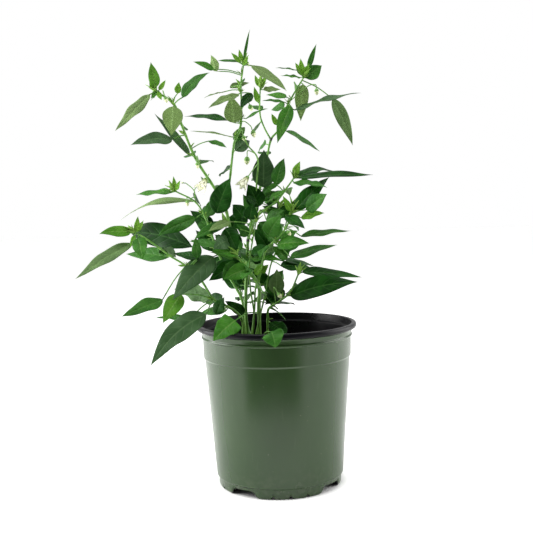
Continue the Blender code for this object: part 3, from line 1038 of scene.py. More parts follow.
    def build(self, finishes: Finishes, crew: Crew) -> None:
        """Turn the pot, open its foot, and hand it in.

        Args:
            finishes: The shared materials.
            crew: Takes the finished pieces.
        """
        pot = self.turned(finishes.shell, finishes.lining)
        cutters = []
        spacing = 360 / self.arches
        for i in range(self.arches):
            heading = self.first_arch + i * spacing
            cutters.append(self.opening((self.arch_foot, self.arch_crown), self.arch_height,
                                        self.arch_depth, heading))
            for side in (-1, 0, 1):
                turn = heading + spacing / 2 + side * self.notch_spread
                widths = (self.notch_width, self.notch_width * self.notch_narrowing)
                cutters.append(self.opening(widths, self.notch_height, self.notch_depth, turn))
        for cutter in cutters:
            cutter.data.materials.append(finishes.lining)
            cut = pot.modifiers.new("opening", "BOOLEAN")
            cut.operation = "DIFFERENCE"
            cut.solver = "EXACT"
            cut.object = cutter
        evaluated(pot)
        for cutter in cutters:
            bpy.data.objects.remove(cutter, do_unlink=True)
        crew.hand_in(pot, "pot_plastic", "pot")


# ---- the soil


@dataclass
class PottingMix:
    """The soil in the pot, with the crumbs, bark and perlite that lie on it."""

    top: float = 140.0
    heap: float = 3.0
    radius: float = 74.9
    depth: float = 30.0
    rings: int = 44
    spokes: int = 120
    roughness: float = 1.3
    reach: float = 70.5
    heap_reach: float = 50.0
    dip: float = 2.0
    dip_start: float = 60.0
    taper: float = 0.96

    def height(self, x: float, y: float) -> float:
        """Find the surface's height, all in millimetres.

        Args:
            x: The place to the right.
            y: The place to the back.

        Returns:
            The height over the pot's underside.
        """
        out = sqrt(x * x + y * y)
        swell = self.heap * max(0.0, 1 - out / self.heap_reach)
        dip = self.dip * max(0.0, (out - self.dip_start) / 15.0)
        spot = Vector((x, y, 0.0))
        rough = noise.noise(spot * 0.09) * 1.4 + noise.noise(spot * 0.35) + noise.noise(spot * 0.9) * 0.5
        return self.top + swell - dip + self.roughness * rough

    def surface(self, finish: bpy.types.Material) -> bpy.types.Object:
        """Make the soil as one closed body with a lumpy top.

        Args:
            finish: Its material.

        Returns:
            The soil.
        """
        mesh = bmesh.new()
        rings = []
        for i in range(1, self.rings + 1):
            out = self.radius * i / self.rings
            ring = []
            for k in range(self.spokes):
                angle = 2 * pi * k / self.spokes
                x, y = out * cos(angle), out * sin(angle)
                ring.append(mesh.verts.new(Vector((x, y, self.height(x, y))) * MM))
            rings.append(ring)
        foot = (self.top - self.depth) * MM
        low = [mesh.verts.new((v.co.x * self.taper, v.co.y * self.taper, foot)) for v in rings[-1]]
        rings.append(low)
        for inner, outer in zip(rings, rings[1:]):
            for k in range(self.spokes):
                j = (k + 1) % self.spokes
                mesh.faces.new((inner[k], outer[k], outer[j], inner[j]))
        middle = mesh.verts.new((0, 0, self.height(0, 0) * MM))
        for k in range(self.spokes):
            mesh.faces.new((middle, rings[0][k], rings[0][(k + 1) % self.spokes]))
        mesh.faces.new(reversed(low))
        return new_object("potting_soil", finished(mesh, "potting_soil"), [finish])

    def bit(self, name: str, stretch: tuple[float, float, float], seed: int) -> bpy.types.Object:
        """Make one loose bit to strew: a small faceted lump, stretched and knocked about.

        Args:
            name: The bit's name.
            stretch: Its length along each axis, as shares.
            seed: The seed of its knocks.

        Returns:
            The bit.
        """
        mesh = bmesh.new()
        bmesh.ops.create_icosphere(mesh, subdivisions=1, radius=0.5)
        draw = random.Random(seed)
        for corner in mesh.verts:
            knock = 1 + draw.uniform(-0.22, 0.22)
            corner.co = Vector((corner.co.x * stretch[0], corner.co.y * stretch[1],
                                corner.co.z * stretch[2])) * knock
        return new_object(name, finished(mesh, name, 30.0), [])

    def strew(self, name: str, soil: bpy.types.Object, growth: Growth, bit: bpy.types.Object,
              amounts: tuple[float, float, float, int], finish: bpy.types.Material) -> bpy.types.Object:
        """Strew one kind of bit over the soil.

        Args:
            name: The new piece's name.
            soil: The soil that they lie on.
            growth: The tree that strews.
            bit: The bit that is strewn.
            amounts: The number per square metre, the least and the largest size in metres, and the seed.
            finish: Their material.

        Returns:
            The bits as one piece.
        """
        density, smallest, largest, seed = amounts
        made = new_object(name, soil.data.copy(), [])
        growth.apply(made, {"Bit": bit, "Density": density, "Smallest": smallest, "Largest": largest,
                            "Reach": self.reach * MM, "Seed": seed, "Finish": finish})
        return made

    def build(self, finishes: Finishes, crew: Crew) -> None:
        """Make the soil and everything strewn on it.

        Args:
            finishes: The shared materials.
            crew: Takes the finished pieces.
        """
        soil = self.surface(finishes.soil)
        growth = litter_growth()
        kinds = (
            # name, stretch, (number per square metre, least and largest size, seed), finish
            ("soil_crumbs", (1.0, 0.8, 0.6), (95000.0, 0.0012, 0.0042, 3), finishes.crumb),
            ("bark_chips", (2.6, 1.1, 0.45), (9000.0, 0.0022, 0.0058, 8), finishes.chip),
            ("perlite_grains", (1.0, 0.9, 0.8), (7000.0, 0.0014, 0.0034, 5), finishes.grit),
        )
        for number, (name, stretch, amounts, finish) in enumerate(kinds):
            bit = self.bit(f"{name}_bit", stretch, number)
            made = self.strew(name, soil, growth, bit, amounts, finish)
            bpy.data.objects.remove(bit, do_unlink=True)
            crew.hand_in(made, "potting_soil")
        crew.hand_in(soil, "potting_soil", "soil")


# ---- the stems


@dataclass(frozen=True)
class Cane:
    """A stem or branch: its points in millimetres, from its foot, and its radii at both ends."""

    points: tuple[tuple[float, float, float], ...]
    foot: float
    tip: float
    grows_from: str = ""


class Outline(Enum):
    """A blade's outline: how fast it widens from its base, and how fast it narrows to its tip."""

    LANCE = (0.60, 1.15)
    ROUND = (0.45, 0.60)
    HEART = (0.26, 0.95)
    DRAWN = (0.95, 0.95)


@dataclass(frozen=True)
class Leaf:
    """A leaf: where on its cane it starts, how its stalk goes, then its blade.

    face turns the upper side from straight up (0) to the front (90).
    sag is how much the blade's rise drops from its base to its tip.
    roll turns the blade round its own midrib.
    """

    along: float
    stalk: float
    stalk_way: Way
    length: float
    width: float
    way: Way
    face: float
    sag: float = 15
    tone: Tone = Tone.GREEN
    outline: Outline = Outline.LANCE
    roll: float = 0


CANES = {
    "cane_left_leader": Cane(
        ((-18, -2, 144), (-18, -4, 185), (-18, -6, 209), (-37, -12, 233), (-41, -14, 241),
         (-48, -20, 286), (-59, -26, 309), (-76, -32, 338), (-88, -36, 370), (-95, -38, 391),
         (-111, -40, 403)),
        foot=2.1, tip=1.0),
    "cane_right_leader": Cane(
        ((-30, 10, 144), (-32, 12, 183), (-29, 16, 232), (-27, 18, 258), (-18, 22, 292),
         (-7, 28, 333), (-1, 32, 358), (7, 32, 368), (17, 34, 393), (35, 34, 422)),
        foot=2.0, tip=0.8),
    "cane_back_left": Cane(
        ((-37, 16, 144), (-35, 20, 185), (-48, 30, 212), (-63, 38, 244), (-67, 40, 258),
         (-73, 44, 275), (-84, 48, 294), (-105, 50, 306)),
        foot=1.5, tip=0.8),
    "branch_centre": Cane(
        ((-48, -20, 286), (-43, -14, 320), (-38, -8, 355), (-32, -6, 367), (-30, -4, 386),
         (-30, -2, 412), (-27, 0, 432)),
        foot=1.3, tip=0.8, grows_from="cane_left_leader"),
    "branch_inner_right": Cane(
        ((-1, 32, 358), (-8, 37, 372), (-12, 40, 387), (-11, 44, 414)),
        foot=0.9, tip=0.7, grows_from="cane_right_leader"),
    "branch_cross": Cane(
        ((-18, 22, 292), (-17, 10, 312), (-15, 0, 337), (-24, -5, 350), (-28, -6, 358)),
        foot=1.0, tip=0.7, grows_from="cane_right_leader"),
    "branch_right": Cane(
        ((-28, 17, 253), (-17, 10, 278), (3, 0, 293), (15, -6, 308), (21, -8, 316)),
        foot=1.2, tip=0.8, grows_from="cane_right_leader"),
    "branch_low_left": Cane(
        ((-34, -12, 144), (-36, -14, 175), (-53, -24, 191), (-63, -28, 197), (-75, -34, 218),
         (-90, -38, 233), (-103, -40, 242), (-126, -44, 260), (-136, -46, 266)),
        foot=1.5, tip=0.8),
    "branch_low_right": Cane(
        ((-10, 6, 144), (-9, 2, 171), (-8, -2, 182), (-1, -8, 188), (14, -18, 200),
         (23, -24, 219)),
        foot=1.4, tip=0.8),
    "branch_front_right": Cane(
        ((-18, -6, 209), (-13, -14, 230), (-8, -20, 246), (6, -30, 259), (15, -36, 273),
         (18, -38, 281)),
        foot=1.1, tip=0.8, grows_from="cane_left_leader"),
}

# Thin shoots among the canes, which carry the leaves of the middle and have no CAD node of their own.
SHOOTS = {
    "shoot_inner": Cane(
        ((-27, 1, 144), (-23, -5, 176), (-26, -9, 205), (-26, -14, 232), (-22, -20, 255),
         (-18, -24, 273)),
        foot=1.1, tip=0.6),
    "shoot_middle": Cane(
        ((-28, 7, 144), (-23, 10, 178), (-21, 10, 203), (-14, 14, 230), (-8, 18, 250),
         (-2, 20, 268), (6, 24, 286)),
        foot=1.1, tip=0.6),
    "shoot_right": Cane(
        ((-24, 3, 144), (-17, 7, 174), (-10, 8, 201), (-4, 14, 228), (7, 20, 252), (14, 24, 273),
         (19, 26, 285)),
        foot=1.0, tip=0.6),
    "shoot_front": Cane(
        ((-24, -5, 144), (-17, -13, 178), (-18, -20, 209), (-27, -30, 227), (-37, -36, 240)),
        foot=1.2, tip=0.7),
    "shoot_back": Cane(
        ((-26, 13, 144), (-34, 24, 176), (-38, 34, 199), (-46, 48, 236), (-53, 58, 268)),
        foot=1.1, tip=0.6),
}
ALL_CANES = {**CANES, **SHOOTS}
AT_TIP = 0.97  # a leaf from here on belongs to the cane's tip and has no joint of its own

# Every leaf here stands for its own CAD node, leaf_GROUP_NUMBER.
LEAVES = {
    "cane_left_leader": (
        Leaf(1.00, 5, (-120, 75), 24, 11, (-120, 73), 80, 5, Tone.FRESH),
        Leaf(1.00, 8, (-160, -20), 51, 14, (-150, -44), 45, 4, Tone.PALE),
        Leaf(0.93, 13, (40, 34), 41, 13, (32, 40), 40, 42, Tone.GREEN),
        Leaf(0.82, 14, (-175, -16), 46, 18, (-145, -8), 50, 30, Tone.DUSKY),
        Leaf(0.74, 6, (165, 20), 58, 11, (154, 47), 25, 12, Tone.DUSKY),
        Leaf(0.92, 5, (-110, 0), 30, 20, (-100, -72), -80, 15, Tone.PALE),
        Leaf(0.53, 10, (-172, -25), 40, 22, (-38, 61), 85, 15, Tone.DARK),
        Leaf(0.48, 5, (-150, -10), 44, 14, (-134, -18), 45, 15, Tone.GREEN),
        Leaf(0.37, 23, (-157, -6), 66, 26, (-136, -36), 65, 18, Tone.DUSKY),
        Leaf(0.33, 6, (-100, 0), 34, 16, (-120, -27), 70, 15, Tone.GREEN),
        Leaf(0.12, 60, (-112, 0), 33, 24, (-135, -29), 60, 15, Tone.BRIGHT, Outline.HEART),
        Leaf(0.01, 86, (-81, 16), 17, 22, (-70, -56), 80, 30, Tone.GREEN, Outline.HEART),
    ),
    "branch_centre": (
        Leaf(1.00, 6, (10, 85), 31, 3, (16, 77), 80, 0, Tone.GREEN),
        Leaf(1.00, 9, (-15, -6), 49, 14, (-30, -35), 35, 12, Tone.PALE),
        Leaf(0.60, 8, (-150, 8), 27, 19, (-112, 80), -80, 15, Tone.PALE),
    ),
    "cane_right_leader": (
        Leaf(1.00, 2, (10, 0), 24, 18, (24, 34), 75, 10, Tone.GREEN),
        Leaf(0.98, 6, (60, -15), 40, 15, (102, -69), -75, 15, Tone.PALE),
        Leaf(0.88, 9, (0, -22), 74, 19, (-21, 11), 24, 10, Tone.DUSKY),
        Leaf(0.99, 40, (20, -29), 54, 15, (16, -66), 60, 15, Tone.OLIVE),
        Leaf(0.89, 5, (-55, -20), 49, 15, (-122, -55), 80, 15, Tone.BRIGHT),
        Leaf(0.80, 10, (25, -23), 51, 16, (40, -24), 40, 15, Tone.GREEN),
        Leaf(0.57, 9, (-65, 0), 40, 24, (-83, 73), 90, 15, Tone.DUSKY),
    ),
    "cane_back_left": (
        Leaf(1.00, 5, (180, -10), 46, 14, (155, -2), 30, 15, Tone.BRIGHT),
        Leaf(0.87, 6, (125, 10), 104, 18, (151, -11), 22, 40, Tone.PALE),
        # This leaf's DEEP tone is painted shade, for a leaf that lies in shadow.
        Leaf(0.64, 25, (169, -22), 86, 27, (152, 11), 85, 25, Tone.DEEP, Outline.DRAWN),
        Leaf(0.79, 10, (-170, -27), 46, 17, (-158, -22), 65, 15, Tone.GREEN),
    ),
    "branch_low_left": (
        Leaf(1.00, 5, (-157, 18), 33, 13, (-147, 0), 60, 15, Tone.FRESH),
        Leaf(0.98, 5, (-92, -30), 27, 15, (-69, -50), 85, 15, Tone.BRIGHT),
        Leaf(0.76, 5, (130, -10), 54, 18, (149, 2), 50, 15, Tone.GREEN),
        Leaf(1.00, 11, (-161, -62), 70, 17, (-138, -26), 40, 14, Tone.OLIVE),
        Leaf(0.40, 5, (150, 20), 43, 22, (153, 9), -65, 15, Tone.DUSKY),
        Leaf(0.66, 42, (-142, -48), 47, 16, (-142, -15), 50, 4, Tone.GREEN),
        Leaf(0.40, 36, (-150, 12), 37, 18, (-127, -43), 75, 15, Tone.FRESH),
        Leaf(0.40, 22, (-113, -38), 85, 23, (-132, -29), 70, 38, Tone.DUSKY),
    ),
    "branch_right": (
        Leaf(0.80, 12, (154, 42), 31, 14, (52, 61), 70, 15, Tone.GREEN),
        Leaf(1.00, 7, (62, 4), 58, 19, (42, 6), 25, 42, Tone.DARK),
        Leaf(1.00, 5, (-22, 5), 77, 18, (-15, 0), 24, 14, Tone.DARK),
    ),
    "branch_front_right": (
        Leaf(1.00, 5, (0, 45), 49, 16, (21, 40), 62, 15, Tone.DARK),
        Leaf(1.00, 15, (-14, 14), 30, 17, (-40, 30), 65, 10, Tone.GREEN),
        Leaf(0.82, 18, (9, -30), 56, 14, (23, 3), 25, 15, Tone.GREEN),
        Leaf(0.60, 5, (-35, -45), 42, 16, (-42, 3), 60, 15, Tone.BRIGHT),
        Leaf(0.61, 9, (-158, 35), 33, 18, (-58, 38), 80, 15, Tone.GREEN),
        Leaf(0.58, 25, (18, -42), 63, 15, (37, 9), 32, 12, Tone.GREEN),
    ),
    "branch_low_right": (
        Leaf(1.00, 5, (0, 30), 66, 17, (18, -8), 35, 12, Tone.DARK),
        Leaf(0.71, 5, (-30, 6), 74, 23, (-23, 12), 62, 22, Tone.DARK),
        Leaf(0.27, 5, (-50, -20), 28, 16, (-57, -19), 45, 15, Tone.DARK, Outline.ROUND),
    ),
}

# Small leaves and those set close among others, which have no CAD node of their own.
SMALL_LEAVES = {
    "cane_left_leader": (
        Leaf(0.98, 6, (-173, 50), 11, 6, (-149, -46), 50, 10, Tone.BRIGHT),
        Leaf(0.94, 10, (4, 55), 11, 7, (-44, 75), 60, 5, Tone.YOUNG),
        Leaf(1.00, 3, (20, 40), 12, 5, (20, 55), 60, 0, Tone.YOUNG),
        Leaf(1.00, 3, (180, 40), 10, 5, (170, 60), 60, 0, Tone.YOUNG),
        Leaf(1.00, 3, (-60, -10), 9, 5, (-40, -60), 80, 0, Tone.YOUNG),
        Leaf(0.77, 19, (-3, 22), 22, 10, (-29, -20), 25, 20, Tone.GREEN),
        Leaf(0.40, 12, (-156, -10), 41, 13, (150, 9), 35, 15, Tone.GREEN),
        Leaf(0.35, 4, (-137, 15), 30, 12, (-137, 15), 45, 15, Tone.BRIGHT),
        Leaf(0.26, 4, (-40, 38), 16, 9, (-40, 38), 60, 15, Tone.YOUNG),
        Leaf(0.44, 12, (60, 20), 38, 17, (75, 25), 20, 20, Tone.DARK),
        Leaf(0.58, 10, (80, 25), 40, 16, (95, 10), 15, 25, Tone.GREEN),
        Leaf(0.70, 8, (100, 25), 36, 13, (70, 5), 15, 25, Tone.GREEN),
        Leaf(0.44, 12, (82, 23), 22, 15, (47, 59), 70, 10, Tone.DARK),
        Leaf(0.38, 8, (36, -3), 22, 14, (136, 35), 60, 10, Tone.GREEN),
    ),
    "branch_centre": (
        Leaf(0.61, 16, (-170, 10), 53, 13, (148, 7), 30, 20, Tone.DARK),
        Leaf(0.94, 29, (-174, 10), 23, 10, (-154, 17), 50, 15, Tone.BRIGHT),
        Leaf(0.93, 26, (-173, 10), 20, 9, (126, 61), -60, 10, Tone.PALE),
        Leaf(1.00, 8, (163, 31), 22, 8, (158, 7), 30, 10, Tone.GREEN),
        Leaf(0.86, 14, (144, -3), 25, 8, (36, 14), 60, 15, Tone.PALE),
        Leaf(0.83, 19, (160, -2), 27, 9, (144, -8), 10, 15, Tone.PALE),
        Leaf(0.81, 4, (-134, -21), 45, 12, (-134, -21), 40, 15, Tone.PALE),
        Leaf(0.81, 12, (24, -1), 23, 11, (-134, -43), 60, 15, Tone.DARK),
        Leaf(0.50, 4, (-145, 6), 49, 12, (-145, 6), 15, 10, Tone.PALE),
        Leaf(0.64, 5, (-13, -7), 30, 10, (-39, 16), 35, 15, Tone.GREEN),
        Leaf(0.45, 8, (75, 30), 34, 13, (70, 10), 15, 20, Tone.GREEN),
        Leaf(1.00, 4, (180, 45), 14, 6, (172, 48), 40, 0, Tone.YOUNG),
        Leaf(1.00, 4, (170, 70), 13, 5, (150, 76), 60, 0, Tone.YOUNG),
        Leaf(0.99, 3, (-60, 40), 9, 4, (-20, 60), 60, 0, Tone.YOUNG),
    ),
    "branch_inner_right": (
        Leaf(0.96, 4, (23, 2), 20, 9, (23, 2), 50, 15, Tone.PALE),
        Leaf(0.55, 6, (95, 30), 30, 11, (100, 15), 10, 20, Tone.GREEN),
        Leaf(1.00, 2, (170, 50), 13, 5, (160, 70), 60, 0, Tone.YOUNG),
        Leaf(1.00, 2, (10, 50), 14, 5, (20, 62), 60, 0, Tone.YOUNG),
        Leaf(0.70, 3, (170, 50), 17, 6, (170, 78), 60, 0, Tone.YOUNG),
    ),
    "cane_right_leader": (
        Leaf(0.51, 12, (-91, 0), 16, 10, (-146, 28), 55, 15, Tone.DARK),
        Leaf(0.55, 8, (-64, 0), 22, 10, (-18, 24), 50, 15, Tone.GREEN),
        Leaf(1.00, 11, (0, 61), 27, 6, (12, 70), 60, 5, Tone.GREEN),
        Leaf(1.00, 3, (160, 70), 18, 7, (120, 80), 70, 0, Tone.YOUNG),
        Leaf(1.00, 3, (-160, 60), 15, 6, (-170, 62), 60, 0, Tone.YOUNG),
        Leaf(1.00, 3, (-30, 60), 13, 6, (-20, 66), 70, 0, Tone.YOUNG),
        Leaf(0.49, 6, (-40, 20), 27, 20, (-150, 62), 85, 10, Tone.DARK),
        Leaf(0.52, 5, (-40, 10), 22, 11, (-20, 22), 50, 10, Tone.GREEN),
        Leaf(0.80, 4, (-170, 50), 13, 6, (-170, 66), 60, 0, Tone.YOUNG),
        Leaf(1.00, 10, (-161, 50), 24, 7, (-165, 6), 20, 10, Tone.GREEN),
        Leaf(1.00, 4, (-150, 2), 24, 9, (-150, 2), 30, 10, Tone.BRIGHT),
        Leaf(0.91, 5, (180, 31), 24, 10, (155, 10), 45, 15, Tone.BRIGHT),
        Leaf(0.89, 5, (-155, 28), 26, 9, (-153, 2), 30, 15, Tone.GREEN),
        Leaf(0.46, 10, (-142, 15), 16, 11, (-160, 43), 75, 10, Tone.GREEN),
        Leaf(0.45, 7, (-119, 13), 16, 11, (-46, 58), 75, 10, Tone.GREEN),
        Leaf(0.34, 12, (-146, 7), 26, 15, (-145, 66), 85, 10, Tone.DARK),
        Leaf(0.31, 11, (-63, 1), 39, 13, (-38, -1), 35, 15, Tone.BRIGHT),
        Leaf(0.33, 9, (-66, 2), 23, 11, (-41, 20), 45, 15, Tone.GREEN),
        Leaf(0.21, 8, (149, 0), 18, 15, (37, 41), 80, 10, Tone.DARK),
        Leaf(0.15, 23, (9, -3), 35, 17, (58, 19), 70, 10, Tone.DARK),
        Leaf(0.30, 44, (19, -4), 52, 15, (52, -10), 40, 15, Tone.DARK),
        Leaf(0.38, 10, (80, 20), 42, 17, (85, 5), 15, 25, Tone.DARK),
        Leaf(0.52, 10, (60, 20), 44, 17, (65, 0), 10, 25, Tone.GREEN),
        Leaf(0.68, 9, (95, 20), 40, 14, (100, 5), 10, 25, Tone.GREEN),
        Leaf(0.82, 8, (80, 20), 36, 12, (75, 0), 10, 25, Tone.GREEN),
        Leaf(0.45, 9, (63, 36), 26, 15, (147, 54), 60, 10, Tone.GREEN),
        Leaf(0.51, 13, (9, -12), 23, 14, (47, 44), 60, 10, Tone.DARK),
    ),
    "branch_right": (
        Leaf(0.99, 4, (-33, 63), 16, 8, (-33, 63), 60, 10, Tone.YOUNG),
        Leaf(0.97, 4, (-56, -30), 47, 13, (-47, -7), 35, 15, Tone.GREEN),
        Leaf(0.43, 12, (-62, -52), 27, 13, (-41, 22), 60, 15, Tone.GREEN),
        Leaf(0.61, 8, (-130, 28), 22, 12, (-38, 22), 50, 10, Tone.BRIGHT),
    ),
    "branch_front_right": (
        # This leaf's YOUNG tone is partly painted light: lighter than its shaded place would show.
        Leaf(0.99, 10, (-2, -20), 24, 11, (-15, 11), 45, 15, Tone.YOUNG),
        Leaf(1.00, 4, (-126, 50), 19, 7, (-126, 50), 60, 10, Tone.YOUNG),
        Leaf(0.96, 6, (-152, 11), 31, 12, (-51, -23), 50, 15, Tone.DARK),
        Leaf(0.12, 3, (-39, 42), 13, 7, (-39, 42), 60, 10, Tone.YOUNG),
    ),
    "cane_back_left": (
        Leaf(0.66, 5, (90, -14), 41, 15, (133, 38), 60, 15, Tone.GREEN),
        Leaf(0.45, 10, (90, 15), 46, 18, (95, -5), 15, 25, Tone.DARK),
        Leaf(0.30, 12, (70, 10), 44, 18, (60, -8), 15, 25, Tone.GREEN),
        Leaf(0.70, 10, (60, 15), 40, 15, (65, 5), 15, 20, Tone.GREEN),
        Leaf(1.00, 2, (180, 60), 15, 5, (150, 84), 60, 0, Tone.YOUNG),
        Leaf(1.00, 2, (-90, 50), 12, 5, (-30, 60), 60, 0, Tone.YOUNG),
        Leaf(0.76, 4, (40, 40), 30, 14, (60, 45), 60, 10, Tone.GREEN),
        Leaf(0.55, 6, (150, 20), 34, 16, (140, 40), 50, 10, Tone.DARK),
    ),
    "branch_low_left": (
        Leaf(0.64, 13, (7, 47), 21, 10, (-100, 84), 75, 5, Tone.GREEN),
        Leaf(1.00, 2, (0, 60), 15, 6, (-20, 82), 70, 0, Tone.YOUNG),
        Leaf(1.00, 2, (30, 50), 13, 5, (30, 55), 60, 0, Tone.YOUNG),
        Leaf(1.00, 3, (-110, -40), 14, 5, (-120, -58), 60, 0, Tone.YOUNG),
        Leaf(0.63, 14, (17, 48), 34, 12, (144, 7), 40, 15, Tone.DARK),
        Leaf(0.29, 5, (-171, -49), 32, 12, (150, -6), 50, 15, Tone.GREEN),
        Leaf(0.35, 13, (-131, -59), 25, 13, (-56, 48), 70, 15, Tone.DARK),
        Leaf(0.18, 7, (65, 28), 25, 12, (158, 32), 60, 15, Tone.DARK),
        Leaf(0.40, 31, (-152, -34), 46, 9, (148, -2), 30, 10, Tone.GREEN),
    ),
    "branch_low_right": (
        Leaf(0.63, 8, (177, 53), 30, 16, (-85, 62), 80, 15, Tone.OLIVE),
        Leaf(0.45, 12, (70, 10), 48, 18, (60, -8), 15, 20, Tone.DARK),
    ),
    "shoot_front": (
        Leaf(0.79, 8, (-106, 34), 29, 18, (-154, -19), 65, 15, Tone.BRIGHT),
        Leaf(0.94, 9, (-140, 43), 27, 14, (-153, 14), 35, 15, Tone.BRIGHT),
        Leaf(0.90, 13, (111, 4), 37, 19, (-169, -29), 60, 15, Tone.DARK),
        Leaf(0.86, 25, (103, 17), 45, 15, (175, -23), 45, 15, Tone.DARK),
    ),
    "shoot_inner": (
        Leaf(0.91, 29, (-179, 12), 28, 19, (-46, -54), 85, 15, Tone.DARK),
        Leaf(0.97, 27, (-165, 11), 25, 13, (-150, -20), 35, 15, Tone.PALE),
        Leaf(0.98, 8, (-155, 41), 17, 15, (-48, 72), 85, 10, Tone.DARK),
        Leaf(1.00, 19, (138, 16), 17, 14, (158, 50), 75, 10, Tone.DARK),
        Leaf(0.72, 8, (-70, 36), 20, 14, (-20, 16), 50, 10, Tone.DARK),
        Leaf(0.84, 8, (162, 57), 17, 12, (-158, 45), 60, 10, Tone.GREEN),
    ),
    "shoot_middle": (
        Leaf(0.86, 12, (159, 17), 17, 10, (-96, -76), 80, 15, Tone.GREEN),
        Leaf(0.78, 33, (-68, -2), 31, 21, (-151, 36), 75, 15, Tone.GREEN),
        Leaf(0.70, 8, (-70, -4), 25, 17, (-153, 54), 75, 10, Tone.DARK),
        Leaf(0.95, 8, (-20, -29), 26, 14, (165, 30), 50, 15, Tone.GREEN),
        Leaf(0.43, 11, (19, -7), 25, 16, (153, 44), 70, 10, Tone.DARK),
        Leaf(0.59, 10, (89, -5), 24, 15, (149, 33), 60, 10, Tone.DARK),
    ),
    "shoot_right": (
        Leaf(0.65, 16, (-33, -16), 23, 12, (-154, 39), 60, 15, Tone.BRIGHT),
        Leaf(0.69, 11, (-60, 0), 32, 18, (-46, 15), 60, 15, Tone.GREEN),
        Leaf(0.72, 7, (-62, 45), 22, 14, (-20, 30), 50, 10, Tone.BRIGHT),
        Leaf(0.30, 12, (30, 60), 30, 17, (-19, 53), 70, 15, Tone.GREEN),
        Leaf(0.42, 23, (31, -17), 27, 16, (164, -33), 60, 10, Tone.DARK),
        Leaf(0.60, 16, (51, -22), 41, 15, (29, -8), 45, 15, Tone.DARK),
        Leaf(0.90, 8, (74, 32), 22, 15, (152, 53), 70, 10, Tone.DARK),
        Leaf(0.91, 9, (0, 69), 19, 11, (-24, 32), 50, 10, Tone.GREEN),
    ),
    "shoot_back": (
        Leaf(0.81, 13, (-124, 4), 43, 15, (152, 10), 35, 15, Tone.PALE),
        Leaf(1.00, 16, (-165, -13), 34, 17, (152, 37), 60, 15, Tone.DARK),
        Leaf(0.70, 11, (123, 55), 27, 17, (152, 45), 60, 15, Tone.DARK),
        Leaf(0.60, 10, (93, 73), 32, 17, (150, 8), 50, 15, Tone.DARK),
        Leaf(0.38, 11, (56, 80), 30, 16, (149, 22), 50, 15, Tone.DARK),
        Leaf(0.85, 14, (80, 20), 44, 18, (80, 0), 10, 25, Tone.GREEN),
        Leaf(0.50, 14, (60, 10), 48, 20, (75, -12), 10, 25, Tone.DARK),
        Leaf(0.68, 12, (30, 10), 42, 17, (40, -5), 10, 25, Tone.DARK),
    ),
}


# Leaves that point away from the front or towards it: their place along the cane, heading and length.
TURNED_AWAY = {
    "cane_left_leader": ((0.24, 100, 58), (0.30, 70, 54), (0.38, -95, 40), (0.50, 110, 48), (0.57, 70, 44),
                         (0.64, 95, 42), (0.75, 105, 40), (0.86, 80, 36),
                         (0.96, 110, 28)),
    "branch_centre": ((0.25, 100, 42), (0.40, 75, 40), (0.55, 95, 40), (0.72, 110, 36),
                      (0.90, 80, 30)),
    "cane_right_leader": ((0.24, 110, 60), (0.30, 75, 56), (0.44, 95, 54), (0.50, 65, 48), (0.60, 110, 46),
                          (0.66, 80, 44), (0.74, 100, 42), (0.80, 70, 38), (0.88, 95, 36),
                          (0.97, 85, 30)),
    "cane_back_left": ((0.25, 95, 52), (0.38, 70, 50), (0.52, 100, 48), (0.62, 75, 44), (0.75, 105, 42),
                       (0.92, 80, 36)),
    "branch_inner_right": ((0.40, 90, 36), (0.80, 100, 28)),
    "branch_right": ((0.40, 100, 44), (0.60, -95, 30), (0.85, 85, 36)),
    "branch_low_left": ((0.35, 100, 46), (0.60, 85, 42), (0.85, 95, 34)),
    "branch_front_right": ((0.45, 90, 38), (0.50, -100, 38), (0.85, -80, 30)),
    "branch_low_right": ((0.40, -85, 40), (0.50, 85, 46), (0.80, 95, 40)),
    "shoot_back": ((0.35, 70, 52), (0.45, 110, 50), (0.60, 85, 50), (0.75, 60, 46), (0.95, 95, 42)),
    "shoot_right": ((0.45, 60, 44), (0.60, 90, 44), (0.85, 95, 38)),
    "shoot_middle": ((0.55, 110, 40), (0.75, 90, 40)),
    "shoot_front": ((0.60, -80, 42), (0.80, -100, 38)),
    "shoot_inner": ((0.60, -100, 36),),
}


